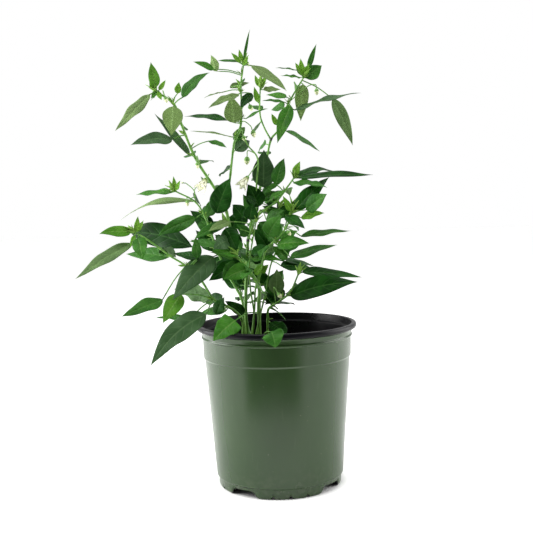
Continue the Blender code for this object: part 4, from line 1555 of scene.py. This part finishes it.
@dataclass
class Stems:
    """Every cane and branch: ridged tubes with swollen joints, each running on into what it grows from."""

    sides: int = 12
    swelling: float = 0.30
    joint_reach: float = 2.2
    flare: float = 0.55
    flare_reach: float = 6.0
    soil_top: float = 143.0
    buried: float = 8.0
    steps: int = 90
    leaf_joint: float = 0.35
    woodiness: float = 0.75
    ripple: float = 0.22
    ripple_scale: float = 420.0
    routes: dict[str, Route] = field(default_factory=dict)

    def draw(self) -> None:
        """Draw every cane's route."""
        for name, cane in ALL_CANES.items():
            knots = [Vector(point) * MM for point in cane.points]
            if not cane.grows_from:
                knots = [knots[0] - Vector((0, 0, self.buried * MM)), *knots]
            self.routes[name] = Route.through(knots)

    def share(self, name: str, along: float) -> float:
        """Turn a share of the cane above the soil into a share of its drawn route.

        Args:
            name: The cane.
            along: How far up the cane, from 0 to 1.

        Returns:
            The share of the route.
        """
        route = self.routes[name]
        hidden = 0.0 if ALL_CANES[name].grows_from else self.buried * MM / route.length
        return hidden + along * (1 - hidden)

    def radius(self, name: str, share: float) -> float:
        """Find a cane's radius without its joints.

        Args:
            name: The cane.
            share: The share of its route.

        Returns:
            The radius in metres.
        """
        cane = ALL_CANES[name]
        return (cane.foot + share * (cane.tip - cane.foot)) * MM

    def joints(self, name: str) -> list[tuple[Vector, float]]:
        """Find a cane's joints.

        Args:
            name: The cane.

        Returns:
            Where each one is, and how dark, from 0 to 1.
        """
        route = self.routes[name]
        leaves = [*LEAVES.get(name, ()), *SMALL_LEAVES.get(name, ())]
        leaves += [Leaf(along, 0, (0, 0), 0, 0, (0, 0), 0) for along, _, _ in TURNED_AWAY.get(name, ())]
        marks = [(route.at(self.share(name, leaf.along)), self.leaf_joint)
                 for leaf in leaves if leaf.along < AT_TIP]
        forks = [self.routes[other].points[0] for other, cane in CANES.items() if cane.grows_from == name]
        marks += [(fork, 1.0) for fork in forks]
        if ALL_CANES[name].grows_from:
            marks.append((route.points[0], 1.0))
        return marks

    def cane(self, name: str, growth: Growth, finish: bpy.types.Material) -> bpy.types.Object:
        """Grow one cane's skin.

        Args:
            name: The cane.
            growth: The tree that grows it.
            finish: Its material.

        Returns:
            The cane.
        """
        route = self.routes[name]
        marks = self.joints(name)
        points = [route.at(i / self.steps) for i in range(self.steps + 1)]
        thickness, joint, woody = [], [], []
        for i, point in enumerate(points):
            wide = self.radius(name, i / self.steps)
            near = [(exp(-((point - spot).length / (self.joint_reach * MM)) ** 2), dark)
                    for spot, dark in marks]
            swell = max([close * (0.4 + 0.6 * dark) for close, dark in near], default=0.0)
            low = 0.0 if ALL_CANES[name].grows_from else exp(-max(0.0, point.z / MM - self.soil_top)
                                                         / self.flare_reach)
            thickness.append(wide * (1 + self.swelling * swell + self.flare * low))
            joint.append(max([close * dark for close, dark in near], default=0.0))
            woody.append(self.woodiness * low)
        data = bpy.data.meshes.new(name)
        data.from_pydata(points, [(i, i + 1) for i in range(len(points) - 1)], [])
        for key, values in (("thickness", thickness), ("joint", joint), ("woody", woody)):
            data.attributes.new(key, "FLOAT", "POINT").data.foreach_set("value", values)
        made = new_object(f"{name}_skin", data, [])
        growth.apply(made, {"Sides": self.sides, "Ripple": self.ripple * MM,
                            "Ripple Scale": self.ripple_scale, "Finish": finish})
        return made

    def build(self, finishes: Finishes, crew: Crew) -> None:
        """Grow every cane.

        Args:
            finishes: The shared materials.
            crew: Takes the finished pieces.
        """
        self.draw()
        growth = cane_growth()
        for name in ALL_CANES:
            stands_for = (name,) if name in CANES else ()
            crew.hand_in(self.cane(name, growth, finishes.cane), "stem", *stands_for)


# ---- the leaves


@dataclass
class Blade:
    """How a leaf's stalk and blade are shaped, in millimetres and shares."""

    rows: int = 42
    across: tuple[float, ...] = (0.0, 0.05, 0.15, 0.32, 0.52, 0.72, 0.88, 1.0)
    stalk_rows: int = 6
    stalk_radius: float = 0.62
    thickness: float = 0.30
    fold: float = 0.26
    cup: float = 0.20
    vein_depth: float = 0.24
    rib: float = 0.42
    small: float = 30.0
    rib_width: float = 0.5
    blend_in: float = 0.10
    midrib_parts: int = 24

    def half_width(self, share: float, leaf: Leaf) -> float:
        """Find half the blade's width: rounded at its base, drawn out to its tip.

        Args:
            share: How far along the blade.
            leaf: The leaf.

        Returns:
            The half width in metres.
        """
        base_power, tip_power = leaf.outline.value
        widest = base_power / (base_power + tip_power)
        full = widest ** base_power * (1 - widest) ** tip_power
        return leaf.width * MM / 2 * share ** base_power * (1 - share) ** tip_power / full

    def midrib(self, leaf: Leaf, start: Vector, draw: random.Random) -> tuple[Route, Route]:
        """The leaf's middle line.

        Args:
            leaf: The leaf.
            start: Where its stalk leaves the cane.
            draw: The leaf's own random numbers.

        Returns:
            The stalk's route and the blade's.
        """
        base = start + direction(leaf.stalk_way) * leaf.stalk * MM
        heading, rise = leaf.way
        drift, droop = draw.uniform(-12, 12), draw.uniform(-8, 12)
        blade, point, parts = [base], base, self.midrib_parts
        for i in range(parts):
            t = (i + 0.5) / parts
            turn = heading + drift * (t - 0.5)
            tilt = rise - leaf.sag * (t - 0.5) - droop * max(0.0, t - 0.8) * 5
            point = point + direction((turn, tilt)) * leaf.length * MM / parts
            blade.append(point)
        belly = start.lerp(base, 0.5) + Vector((0, 0, 0.06 * leaf.stalk * MM))
        stalk = Route.through([start, belly, base, base + direction(leaf.way) * 2 * MM], 6)
        kept = [p for p, mark in zip(stalk.points, stalk.marks) if mark < stalk.length - 2.2 * MM]
        return Route([*kept, base]), Route(blade)

    def relief(self, share: float, off: float, wave: tuple[float, float, float], wide: float) -> float:
        """How high the blade stands over its middle plane, in metres.

        Args:
            share: How far along the blade.
            off: How far out to the side, from -1 to 1.
            wave: The margin's wave: its depth, its number and its phase.
            wide: Half the blade's width there, in metres.

        Returns:
            The height.
        """
        depth, number, phase = wave
        out = abs(off)
        lift = self.fold * out - self.cup * out ** 2
        beat = sin(2 * pi * (number * share + phase + (0.23 if off > 0 else 0.0)))
        return wide * (lift + depth * out ** 2 * beat)

    def vein(self, share: float, off: float) -> float:
        """Find how near a spot is to a side vein.

        Args:
            share: How far along the blade.
            off: How far out to the side, from -1 to 1.

        Returns:
            The nearness, from 0 to 1.
        """
        out = abs(off)
        cycle = (share - VEIN_SWEEP * out ** VEIN_BEND) * VEIN_PAIRS
        return (0.5 - 0.5 * cos(2 * pi * cycle)) ** 1.4 * max(0.0, 1 - out) ** 0.4

    def section(self, middle: Vector, axes: tuple[Vector, Vector], share: float, leaf: Leaf,
                wave: tuple[float, float, float], stalk: bool) -> list[Vector]:
        """Draw one closed ring across the leaf: its upper side, then its lower side back.

        Args:
            middle: The ring's middle.
            axes: The way to the leaf's side and its upward normal.
            share: How far along the blade.
            leaf: The leaf.
            wave: The margin's wave, as relief takes it.
            stalk: Whether the ring is on the stalk.

        Returns:
            The ring's points.
        """
        side, normal = axes
        radius = self.stalk_radius * MM * (1.0 if leaf.length > self.small else 0.8)
        wide = radius if stalk else max(0.12 * MM, self.half_width(share, leaf))
        blend = 0.0 if stalk else min(1.0, share / self.blend_in)
        wide = max(wide, radius * (1 - blend))
        thick = radius * (1 - blend) + self.thickness / 2 * MM * blend * (1 - 0.5 * share)
        offs = [-x for x in reversed(self.across[1:])] + list(self.across)
        upper, lower = [], []
        for off in offs:
            bulge = thick * sqrt(max(0.0, 1 - off * off))
            lift = blend * self.relief(share, off, wave, wide)
            groove = blend * self.vein(share, off) * self.vein_depth * MM * min(1.0, wide / (4 * MM))
            crease = blend * (1 - share) * exp(-(off * wide / (self.rib_width * MM)) ** 2)
            place = middle + side * off * wide
            upper.append(place + normal * (lift + bulge - groove - crease * 0.25 * MM))
            lower.append(place + normal * (lift - bulge - groove - crease * self.rib * MM))
        return [*upper, *reversed(lower[1:-1])]

    def loft(self, mesh: bmesh.types.BMesh, seed: str, leaf: Leaf, start: Vector, slot: int) -> None:
        """Add one leaf, closed, to a working mesh.

        Args:
            mesh: The working mesh.
            seed: The seed of the leaf's own small differences.
            leaf: Its place and shape.
            start: Where its stalk leaves the cane, in metres.
            slot: The material slot of its upper side; its lower side has the next one.
        """
        draw = random.Random(seed)
        stalk, blade = self.midrib(leaf, start, draw)
        wave = (draw.uniform(0.05, 0.20), draw.uniform(1.2, 2.6), draw.random())
        twist = draw.uniform(-10, 10)
        facing = Vector((0, -sin(radians(leaf.face)), cos(radians(leaf.face))))
        rows = self.rows if leaf.length > self.small else self.rows * 2 // 3
        spots = [(stalk.at(i / self.stalk_rows), stalk.ahead(i / self.stalk_rows), 0.0, True)
                 for i in range(self.stalk_rows)]
        spots += [(blade.at(i / rows), blade.ahead(i / rows), i / rows, False) for i in range(rows + 1)]
        rings, shares = [], []
        for middle, ahead, share, on_stalk in spots:
            turned = Matrix.Rotation(radians(leaf.roll + twist * (share - 0.4)), 3, ahead) @ facing
            side = ahead.cross(turned).normalized()
            normal = side.cross(ahead).normalized()
            rings.append(self.section(middle, (side, normal), share, leaf, wave, on_stalk))
            shares.append(share)
        map_layer = mesh.loops.layers.uv.verify()
        bands = ring_loft(mesh, rings)
        offs = [-x for x in reversed(self.across[1:])] + list(self.across)
        spread = [*offs, *reversed(offs[1:-1])]
        top_count = len(offs) - 1
        for row, band in enumerate(bands):
            for k, face in enumerate(band):
                face.material_index = 0 if row < self.stalk_rows - 1 else slot + (k >= top_count)
                following = (k + 1) % len(spread)
                ends = ((k, row), (following, row), (following, row + 1), (k, row + 1))
                for loop, (column, line) in zip(face.loops, ends):
                    loop[map_layer].uv = (0.5 + spread[column] / 2, shares[line])

    def piece(self, name: str, grown: list[tuple[Leaf, Vector]], finishes: Finishes) -> bpy.types.Object:
        """Loft leaves into one piece.

        Args:
            name: The piece's name.
            grown: The leaves, each with the place where its stalk leaves the cane.
            finishes: The shared materials.

        Returns:
            The piece: its first slot is the stalks' finish, then both sides of each tone in use.
        """
        tones = list(dict.fromkeys(leaf.tone for leaf, _ in grown))
        mesh = bmesh.new()
        mesh.loops.layers.uv.new(BLADE_MAP)
        for number, (leaf, start) in enumerate(grown, start=1):
            self.loft(mesh, f"{name}_{number}", leaf, start, 1 + 2 * tones.index(leaf.tone))
        materials = [finishes.stalk]
        for tone in tones:
            materials += [finishes.upper[tone], finishes.lower[tone]]
        return new_object(name, finished(mesh, name), materials)


@dataclass
class Foliage:
    """Every leaf of the plant, on the routes of its canes."""

    stems: Stems
    blade: Blade = field(default_factory=Blade)

    def turned_away(self, cane: str) -> list[Leaf]:
        """Draw up a cane's leaves that point away from the front or towards it.

        Args:
            cane: The cane.

        Returns:
            The leaves.
        """
        draw = random.Random(f"turned_{cane}")
        made = []
        for number, (along, heading, length) in enumerate(TURNED_AWAY.get(cane, ())):
            rise, length = draw.uniform(-4, 24), length * draw.uniform(0.74, 1.04)
            heading = heading + draw.uniform(-18, 18)
            along = min(1.0, along + draw.uniform(-0.03, 0.03))
            tone = draw.choice((Tone.DARK, Tone.GREEN, Tone.DUSKY)) if length > 34 else Tone.GREEN
            roll = draw.uniform(12, 66) * (1 if number % 2 else -1)
            made.append(Leaf(along, draw.uniform(0.16, 0.34) * length, (heading, rise), length,
                             draw.uniform(0.34, 0.44) * length,
                             (heading + draw.uniform(-10, 10), rise - draw.uniform(0, 28)), 8,
                             draw.uniform(12, 34), tone, roll=roll))
        return made

    def start(self, cane: str, leaf: Leaf) -> Vector:
        """Where a leaf's stalk leaves its cane."""
        return self.stems.routes[cane].at(self.stems.share(cane, leaf.along))

    def build(self, finishes: Finishes, crew: Crew) -> None:
        """Make every leaf, the ones that stand for a CAD node first.

        Args:
            finishes: The shared materials.
            crew: Takes the finished pieces.
        """
        for cane, leaves in LEAVES.items():
            group = cane.split("_", 1)[1]
            for number, leaf in enumerate(leaves, start=1):
                name = f"leaf_{group}_{number}"
                made = self.blade.piece(f"{name}_blade", [(leaf, self.start(cane, leaf))], finishes)
                crew.hand_in(made, "leaf", name)
        for cane in ALL_CANES:
            group = cane.split("_", 1)[1]
            for kind, leaves in (("small", SMALL_LEAVES.get(cane, ())), ("rear", self.turned_away(cane))):
                if leaves:
                    grown = [(leaf, self.start(cane, leaf)) for leaf in leaves]
                    crew.hand_in(self.blade.piece(f"{kind}_leaves_{group}", grown, finishes), "leaf")


@dataclass
class YoungTips:
    """The tufts of young leaves at the canes' tips and in the leaf axils."""

    stems: Stems
    tip_count: int = 6
    tip_size: tuple[float, float] = (8.0, 16.0)
    axil_size: tuple[float, float] = (3.5, 8.0)
    axil_count: int = 2
    lowest_axil: float = 0.2
    tip_turn: float = 2.4
    tip_spread: float = 12.0
    spread_step: float = 7.0

    def leaflet(self) -> bpy.types.Object:
        """Make a small folded leaf, one unit long along +Z, with a few dozen faces.

        Returns:
            The leaflet.
        """
        mesh = bmesh.new()
        rings = []
        for i in range(6):
            share = i / 5
            wide = 0.03 + 0.15 * sin(pi * min(1.0, share * 0.9 + 0.08)) ** 0.8 * (1 - share ** 3)
            back = 0.10 * share * share
            fold = 0.5 * wide
            rings.append([Vector((-wide, fold - back, share)), Vector((0, 0.02 - back, share)),
                          Vector((wide, fold - back, share)), Vector((0, -0.02 - back, share))])
        ring_loft(mesh, rings)
        return new_object("leaflet", finished(mesh, "leaflet"), [])

    def spots(self, cane: str) -> list[tuple[Vector, Vector, float]]:
        """Find where a cane's young leaves stand.

        Args:
            cane: The cane.

        Returns:
            Each one's place, its Euler turn and its size in metres.
        """
        draw = random.Random(cane)
        route = self.stems.routes[cane]
        found = []
        ahead = (route.ahead(1.0) + Vector((0, 0, 0.5))).normalized()
        for k in range(self.tip_count):
            spread = radians(self.tip_spread + self.spread_step * k)
            found.append((route.at(1.0), self.aim(ahead, self.tip_turn * k + draw.uniform(-0.4, 0.4), spread),
                          draw.uniform(*self.tip_size) * MM * (1 - 0.06 * k)))
        for leaf in (*LEAVES.get(cane, ()), *SMALL_LEAVES.get(cane, ())):
            if not self.lowest_axil < leaf.along < AT_TIP:
                continue
            share = self.stems.share(cane, leaf.along)
            out = (route.ahead(share) + direction(leaf.stalk_way) * 0.7).normalized()
            for _ in range(self.axil_count):
                found.append((route.at(share) + out * 1.2 * MM,
                              self.aim(out, draw.uniform(0, 2 * pi), radians(draw.uniform(8, 30))),
                              draw.uniform(*self.axil_size) * MM))
        return found

    def aim(self, axis: Vector, turn: float, spread: float) -> Vector:
        """Find the turn that points a leaflet along an axis.

        Args:
            axis: The axis.
            turn: How far it is spun round it, in radians.
            spread: How far it leans from it, in radians.

        Returns:
            The Euler turn.
        """
        spin = Matrix.Rotation(turn, 3, "Z") @ Matrix.Rotation(spread, 3, "X")
        return Vector((axis.to_track_quat("Z", "Y").to_matrix() @ spin).to_euler())

    def build(self, finishes: Finishes, crew: Crew) -> None:
        """Grow the tufts of every cane.

        Args:
            finishes: The shared materials.
            crew: Takes the finished pieces.
        """
        growth = tuft_growth()
        leaflet = self.leaflet()
        for cane in ALL_CANES:
            if cane == "branch_cross":
                continue
            spots = self.spots(cane)
            data = bpy.data.meshes.new(cane)
            data.from_pydata([place for place, _, _ in spots], [], [])
            aims = [value for _, aim, _ in spots for value in aim]
            data.attributes.new("aim", "FLOAT_VECTOR", "POINT").data.foreach_set("vector", aims)
            data.attributes.new("size", "FLOAT", "POINT").data.foreach_set("value", [s for _, _, s in spots])
            made = new_object(f"young_leaves_{cane.split('_', 1)[1]}", data, [])
            growth.apply(made, {"Leaflet": leaflet, "Finish": finishes.lower[Tone.YOUNG]})
            crew.hand_in(made, "leaf")
        bpy.data.objects.remove(leaflet, do_unlink=True)


# ---- buds and flowers


@dataclass(frozen=True)
class Stalked:
    """A nodding bud or flower: its cane, where its stalk leaves it, and the points it bends through."""

    cane: str
    along: float
    bends: tuple[tuple[float, float, float], ...]
    size: float = 1.0


BUDS = (
    Stalked("cane_left_leader", 0.97, ((-105, -41, 404), (-103, -42, 398)), 0.8),
    Stalked("branch_centre", 0.70, ((-24, 4, 397), (-22, 8, 393)), 1.0),
    Stalked("branch_centre", 0.52, ((-30, 8, 376), (-22, 12, 372), (-20, 12, 367)), 1.0),
    Stalked("branch_centre", 0.45, ((-31, -6, 366), (-29, -4, 361)), 0.8),
    Stalked("branch_cross", 0.75, ((-25, 6, 346), (-26, 9, 340)), 1.15),
    Stalked("cane_left_leader", 0.70, ((-74, -38, 340), (-74, -38, 334)), 0.8),
    Stalked("cane_back_left", 0.90, ((-92, 38, 300), (-92, 36, 296)), 0.8),
    Stalked("cane_right_leader", 0.90, ((38, 30, 412), (47, 28, 414), (48, 28, 410)), 0.9),
    Stalked("branch_centre", 0.98, ((-26, 2, 439), (-24, 2, 436)), 0.7),
    Stalked("branch_low_right", 0.55, ((-2, -18, 206), (2, -21, 201)), 0.9),
    Stalked("branch_front_right", 0.80, ((10, -28, 268), (13, -27, 264)), 0.8),
    Stalked("cane_right_leader", 0.62, ((-8, 38, 340), (-6, 42, 333)), 0.9),
    Stalked("cane_back_left", 0.875, ((-85, 46, 306), (-93, 48, 314), (-96, 48, 315)), 0.35),
    Stalked("cane_back_left", 0.87, ((-85, 46, 306), (-81, 40, 311), (-75, 34, 316)), 0.35),
)

FLOWERS = {
    "flower_left": Stalked("cane_left_leader", 0.66, ((-63, -37, 322), (-65, -40, 318.5))),
    "flower_centre": Stalked("branch_cross", 0.60, ((-20, -6, 326), (-24.5, -9, 320))),
}


@dataclass
class Blossom:
    """The buds and the open flowers, in millimetres."""

    stems: Stems
    stalk_radius: float = 0.50
    bud_length: float = 7.6
    bud_radius: float = 2.5
    petals: int = 6
    petal_length: float = 15.5
    petal_width: float = 7.0
    sides: int = 12
    bud_steps: int = 14
    calyx_share: float = 0.40
    petal_steps: int = 8
    anther_radii: tuple[float, ...] = (0.14, 0.14, 0.42, 0.5, 0.2)

    def stalk(self, stalked: Stalked) -> Route:
        """Draw the arched stalk, from inside the cane to the head.

        Args:
            stalked: The bud or flower.

        Returns:
            The stalk's route.
        """
        cane = self.stems.routes[stalked.cane]
        start = cane.at(self.stems.share(stalked.cane, stalked.along))
        knots = [start, *(Vector(point) * MM for point in stalked.bends)]
        return Route.through(knots, 6)

    def turned(self, mesh: bmesh.types.BMesh, stalk: Route, head: list[tuple[float, float]],
               marks: list[float], layer: object) -> None:
        """Skin a stalk and the round head at its end, and mark how ripe each ring is.

        Args:
            mesh: The working mesh.
            stalk: The stalk's route.
            head: The head's rings: how far past the stalk, and the radius, in millimetres.
            marks: The ripeness of each of the head's rings.
            layer: The working mesh's layer for it.
        """
        way = stalk.ahead(1.0)
        last = stalk.points[-1]
        points = [*stalk.points, *(last + way * out * MM for out, _ in head)]
        radii = [self.stalk_radius * MM] * len(stalk.points) + [wide * MM for _, wide in head]
        rings = round_rings(Route(points), radii, self.sides)
        before = len(mesh.verts)
        ring_loft(mesh, rings)
        mesh.verts.ensure_lookup_table()
        ripeness = [0.0] * len(stalk.points) + marks
        for i, ripe in enumerate(ripeness):
            for k in range(self.sides):
                mesh.verts[before + i * self.sides + k][layer] = ripe

    def bud(self, number: int, stalked: Stalked, finishes: Finishes) -> bpy.types.Object:
        """Make one bud: its stalk, the calyx cup, and the closed petals.

        Args:
            number: The bud's number.
            stalked: Its place.
            finishes: The shared materials.

        Returns:
            The bud.
        """
        mesh = bmesh.new()
        layer = mesh.verts.layers.float.new("ripe")
        size = stalked.size
        head, marks = [], []
        for i in range(self.bud_steps + 1):
            t = i / self.bud_steps
            wide = self.bud_radius * sin(pi * min(1.0, 0.10 + 0.90 * t)) ** 0.75
            if t < self.calyx_share:
                wide = max(wide, self.stalk_radius) * 1.14
            head.append((self.bud_length * size * t + 0.3, max(0.08, wide * size)))
            marks.append(t)
        self.turned(mesh, self.stalk(stalked), head, marks, layer)
        return new_object(f"flower_bud_{number}", finished(mesh, "flower_bud"), [finishes.bud])

    def petal(self, mesh: bmesh.types.BMesh, layer: object, place: Matrix) -> None:
        """Add one petal, thin and closed, from the heart outwards.

        Args:
            mesh: The working mesh.
            layer: Its layer for how near a point is to the petal's base.
            place: The turn and place of the petal.
        """
        rings, marks = [], []
        for i in range(self.petal_steps + 1):
            t = i / self.petal_steps
            wide = self.petal_width / 2 * (0.45 + 0.55 * sin(pi * min(1.0, t * 0.75 + 0.12)))
            wide *= (1 - t ** 3) ** 0.8 if t < 1 else 0.0
            wide = max(wide, 0.10)
            out = 0.8 + self.petal_length * (0.20 * t + 0.22 * t * t)
            height = self.petal_length * (-0.95 * t + 0.12 * t * t)
            ring = []
            for off, up in ((-1, 0.30), (-0.5, 0.10), (0, 0.0), (0.5, 0.10), (1, 0.30)):
                ring.append(Vector((off * wide, out, height - up * wide)))
            ring += [Vector((off * wide, out, height - up * wide - 0.16))
                     for off, up in ((0.5, 0.10), (0, 0.0), (-0.5, 0.10))]
            rings.append([place @ (spot * MM) for spot in ring])
            marks.append(max(0.0, 1 - t * 2.6))
        before = len(mesh.verts)
        ring_loft(mesh, rings)
        mesh.verts.ensure_lookup_table()
        for i, mark in enumerate(marks):
            for k in range(8):
                mesh.verts[before + i * 8 + k][layer] = mark

    def flower(self, name: str, stalked: Stalked, finishes: Finishes, crew: Crew) -> None:
        """Make one open flower: its stalk and calyx, its petals, and its anthers.

        Args:
            name: The CAD node's name.
            stalked: Its place.
            finishes: The shared materials.
            crew: Takes the finished pieces.
        """
        stalk = self.stalk(stalked)
        mesh = bmesh.new()
        layer = mesh.verts.layers.float.new("ripe")
        cup = [(0.3, 0.5), (0.9, 1.4), (1.7, 1.9), (2.6, 2.15), (2.9, 1.9), (2.3, 0.5)]
        self.turned(mesh, stalk, cup, [0.0] * len(cup), layer)
        calyx = new_object(f"{name}_calyx", finished(mesh, name), [finishes.bud])
        crew.hand_in(calyx, "stem")
        heart = stalk.points[-1] + stalk.ahead(1.0) * 2.2 * MM
        turn = stalk.ahead(1.0).to_track_quat("-Z", "Y").to_matrix().to_4x4()
        mesh = bmesh.new()
        layer = mesh.verts.layers.float.new("base")
        for k in range(self.petals):
            place = Matrix.Translation(heart) @ turn @ Matrix.Rotation(2 * pi * k / self.petals, 4, "Z")
            self.petal(mesh, layer, place)
        petals = new_object(f"{name}_petals", finished(mesh, name), [finishes.petal])
        crew.hand_in(petals, "flower", name)
        mesh = bmesh.new()
        for k in range(self.petals):
            angle = 2 * pi * (k + 0.5) / self.petals
            foot = Vector((0.9 * cos(angle), 0.9 * sin(angle), -0.4))
            tip = Vector((1.2 * cos(angle), 1.2 * sin(angle), -3.4))
            knots = [Matrix.Translation(heart) @ turn @ (spot * MM) for spot in
                     (foot, foot.lerp(tip, 0.45), foot.lerp(tip, 0.5), foot.lerp(tip, 0.75), tip)]
            thick = [radius * MM for radius in self.anther_radii]
            ring_loft(mesh, round_rings(Route(knots), thick, 8))
        crew.hand_in(new_object(f"{name}_anthers", finished(mesh, name), [finishes.anther]), "flower")

    def build(self, finishes: Finishes, crew: Crew) -> None:
        """Make every bud and flower.

        Args:
            finishes: The shared materials.
            crew: Takes the finished pieces.
        """
        for number, stalked in enumerate(BUDS, start=1):
            crew.hand_in(self.bud(number, stalked, finishes), "flower")
        for name, stalked in FLOWERS.items():
            self.flower(name, stalked, finishes, crew)


# ---- the studio


@dataclass(frozen=True)
class Lamp:
    """A soft square light: its place and side in metres, and its power in watts."""

    name: str
    place: tuple[float, float, float]
    size: float
    power: float


LAMPS = (
    Lamp("key_light", (-1.0, 0.12, 0.50), 0.95, 18.5),
    Lamp("fill_light", (1.0, 0.18, 0.50), 0.95, 11.0),
    Lamp("top_light", (-0.35, -0.45, 1.7), 1.1, 18.5),
)


@dataclass
class Studio:
    """A white floor and sky with soft lights, and the camera."""

    camera_place: tuple[float, float, float] = (0.0, -0.951, 0.303)
    camera_pitch: float = -4.63
    camera_roll: float = -1.467
    lens: float = 62.27
    shift: float = -0.0161
    lit_place: tuple[float, float, float] = (-0.02, 0.0, 0.22)
    # foot_shade: where the painted shadow under the pot fades out, in metres from its middle
    foot_shade: tuple[float, float] = (0.058, 0.078)
    # wedge_start, wedge_fade, wedge_turn: the wedge in front that is dark to glossy rays only, a painted dark
    # reflection on the pot
    wedge_start: tuple[float, float] = (0.20, 0.30)
    wedge_fade: tuple[float, float] = (0.60, 1.15)
    wedge_turn: float = 0.22

    def floor(self) -> None:
        """Lay the pale floor.

        Its glow fades out under the pot, a painted shadow. A wedge of it out in front is dark to glossy rays
        only, a painted dark reflection, so that the pot's sides mirror white and its front mirrors something
        dark.
        """
        recipe = Recipe("studio_floor")
        flat = recipe.node("VectorMath", operation="MULTIPLY")
        recipe.feed(flat.inputs[0], recipe.place())
        flat.inputs[1].default_value = (1.0, 1.0, 0.0)
        out = recipe.node("VectorMath", operation="LENGTH")
        recipe.feed(out.inputs[0], flat.outputs[0])
        rays = recipe.node("LightPath")
        # A wedge out in front, dark to glossy rays only: a painted dark reflection on the pot's front.
        far = recipe.between(out.outputs["Value"], *self.wedge_start)
        parts = recipe.node("SeparateXYZ")
        recipe.feed(parts.inputs[0], recipe.place())
        ahead = recipe.maths("MAXIMUM", recipe.maths("MULTIPLY", parts.outputs["Y"], -1.0), 0.01)
        turned = recipe.maths("ADD", recipe.maths("DIVIDE", parts.outputs["X"], ahead), self.wedge_turn)
        aside = recipe.maths("ABSOLUTE", turned)
        far = recipe.maths("MULTIPLY", far, recipe.between(aside, *self.wedge_fade, 1.0, 0.0))
        hidden = recipe.maths("MULTIPLY", rays.outputs["Is Glossy Ray"], far)
        pale = recipe.mix(recipe.noise(4.0, 2.0), (0.90, 0.90, 0.89), (0.92, 0.92, 0.91))
        # Painted shadow: the floor's glow fades out under the pot.
        clear = recipe.between(out.outputs["Value"], *self.foot_shade)
        glow = recipe.between(rays.outputs["Is Camera Ray"], 0.0, 1.0, 0.10, 0.52)
        lit = recipe.maths("MULTIPLY", clear, recipe.maths("SUBTRACT", 1.0, hidden))
        glow = recipe.maths("MULTIPLY", glow, lit)
        recipe.feed(recipe.shader.inputs["Emission Strength"], glow)
        recipe.shader.inputs["Emission Color"].default_value = (1, 1, 1, 1)
        material = recipe.surface(recipe.mix(hidden, pale, (0.02, 0.02, 0.02)), 0.7, Specular_IOR_Level=0.2)
        mesh = bmesh.new()
        bmesh.ops.create_grid(mesh, x_segments=2, y_segments=2, size=6.0)
        floor = new_object("studio_floor", finished(mesh, "studio_floor"), [material])
        floor.location.z = -0.0002

    def light(self, lamp: Lamp) -> None:
        """Hang one lamp, looking at the plant.

        Args:
            lamp: The lamp.
        """
        data = bpy.data.lights.new(lamp.name, "AREA")
        data.size = lamp.size
        data.energy = lamp.power
        made = bpy.data.objects.new(lamp.name, data)
        bpy.context.scene.collection.objects.link(made)
        made.visible_camera = False
        made.location = lamp.place
        aim = Vector(self.lit_place) - Vector(lamp.place)
        made.rotation_euler = aim.to_track_quat("-Z", "Y").to_euler()

    def world(self) -> None:
        """White all round for the camera, and darker in front of the plant for the light that falls on it."""
        world = bpy.data.worlds.new("studio_world")
        bpy.context.scene.world = world
        world.use_nodes = True
        tree = world.node_tree
        back = tree.nodes["Background"]
        place = tree.nodes.new("ShaderNodeTexCoord")
        parts = tree.nodes.new("ShaderNodeSeparateXYZ")
        front = tree.nodes.new("ShaderNodeMapRange")
        front.interpolation_type = "SMOOTHSTEP"
        front.inputs["From Min"].default_value = -0.95
        front.inputs["From Max"].default_value = 0.1
        front.inputs["To Min"].default_value = 0.05
        front.inputs["To Max"].default_value = 0.66
        tree.links.new(place.outputs["Generated"], parts.inputs[0])
        tree.links.new(parts.outputs["Y"], front.inputs["Value"])
        path = tree.nodes.new("ShaderNodeLightPath")
        choice = tree.nodes.new("ShaderNodeMix")
        tree.links.new(path.outputs["Is Camera Ray"], choice.inputs[0])
        tree.links.new(front.outputs["Result"], choice.inputs[2])
        choice.inputs[3].default_value = 1.0
        tree.links.new(choice.outputs[0], back.inputs["Strength"])
        back.inputs["Color"].default_value = (1, 1, 1, 1)

    def camera(self) -> None:
        """The camera, a little above the pot's lip and turned slightly."""
        data = bpy.data.cameras.new("camera")
        data.lens = self.lens
        data.sensor_width = 36.0
        data.shift_x = self.shift
        data.clip_start = 0.01
        camera = bpy.data.objects.new("camera", data)
        bpy.context.scene.collection.objects.link(camera)
        camera.matrix_world = (Matrix.Translation(self.camera_place)
                               @ Matrix.Rotation(radians(90 + self.camera_pitch), 4, "X")
                               @ Matrix.Rotation(radians(self.camera_roll), 4, "Z"))
        bpy.context.scene.camera = camera

    def build(self) -> None:
        """Set up the floor, the lights and the camera."""
        self.floor()
        self.world()
        for lamp in LAMPS:
            self.light(lamp)
        self.camera()
        bpy.context.scene.view_settings.view_transform = "Standard"


def main() -> None:
    """Build the studio, then the plant from the pot upwards."""
    logging.basicConfig(level=logging.INFO, format="%(name)s: %(message)s")
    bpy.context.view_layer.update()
    Studio().build()
    crew = Crew()
    finishes = Finishes()
    NurseryPot().build(finishes, crew)
    PottingMix().build(finishes, crew)
    stems = Stems()
    stems.build(finishes, crew)
    Foliage(stems).build(finishes, crew)
    YoungTips(stems).build(finishes, crew)
    Blossom(stems).build(finishes, crew)
    log.info("%d pieces in all", crew.count)


if __name__ == "__main__":
    main()
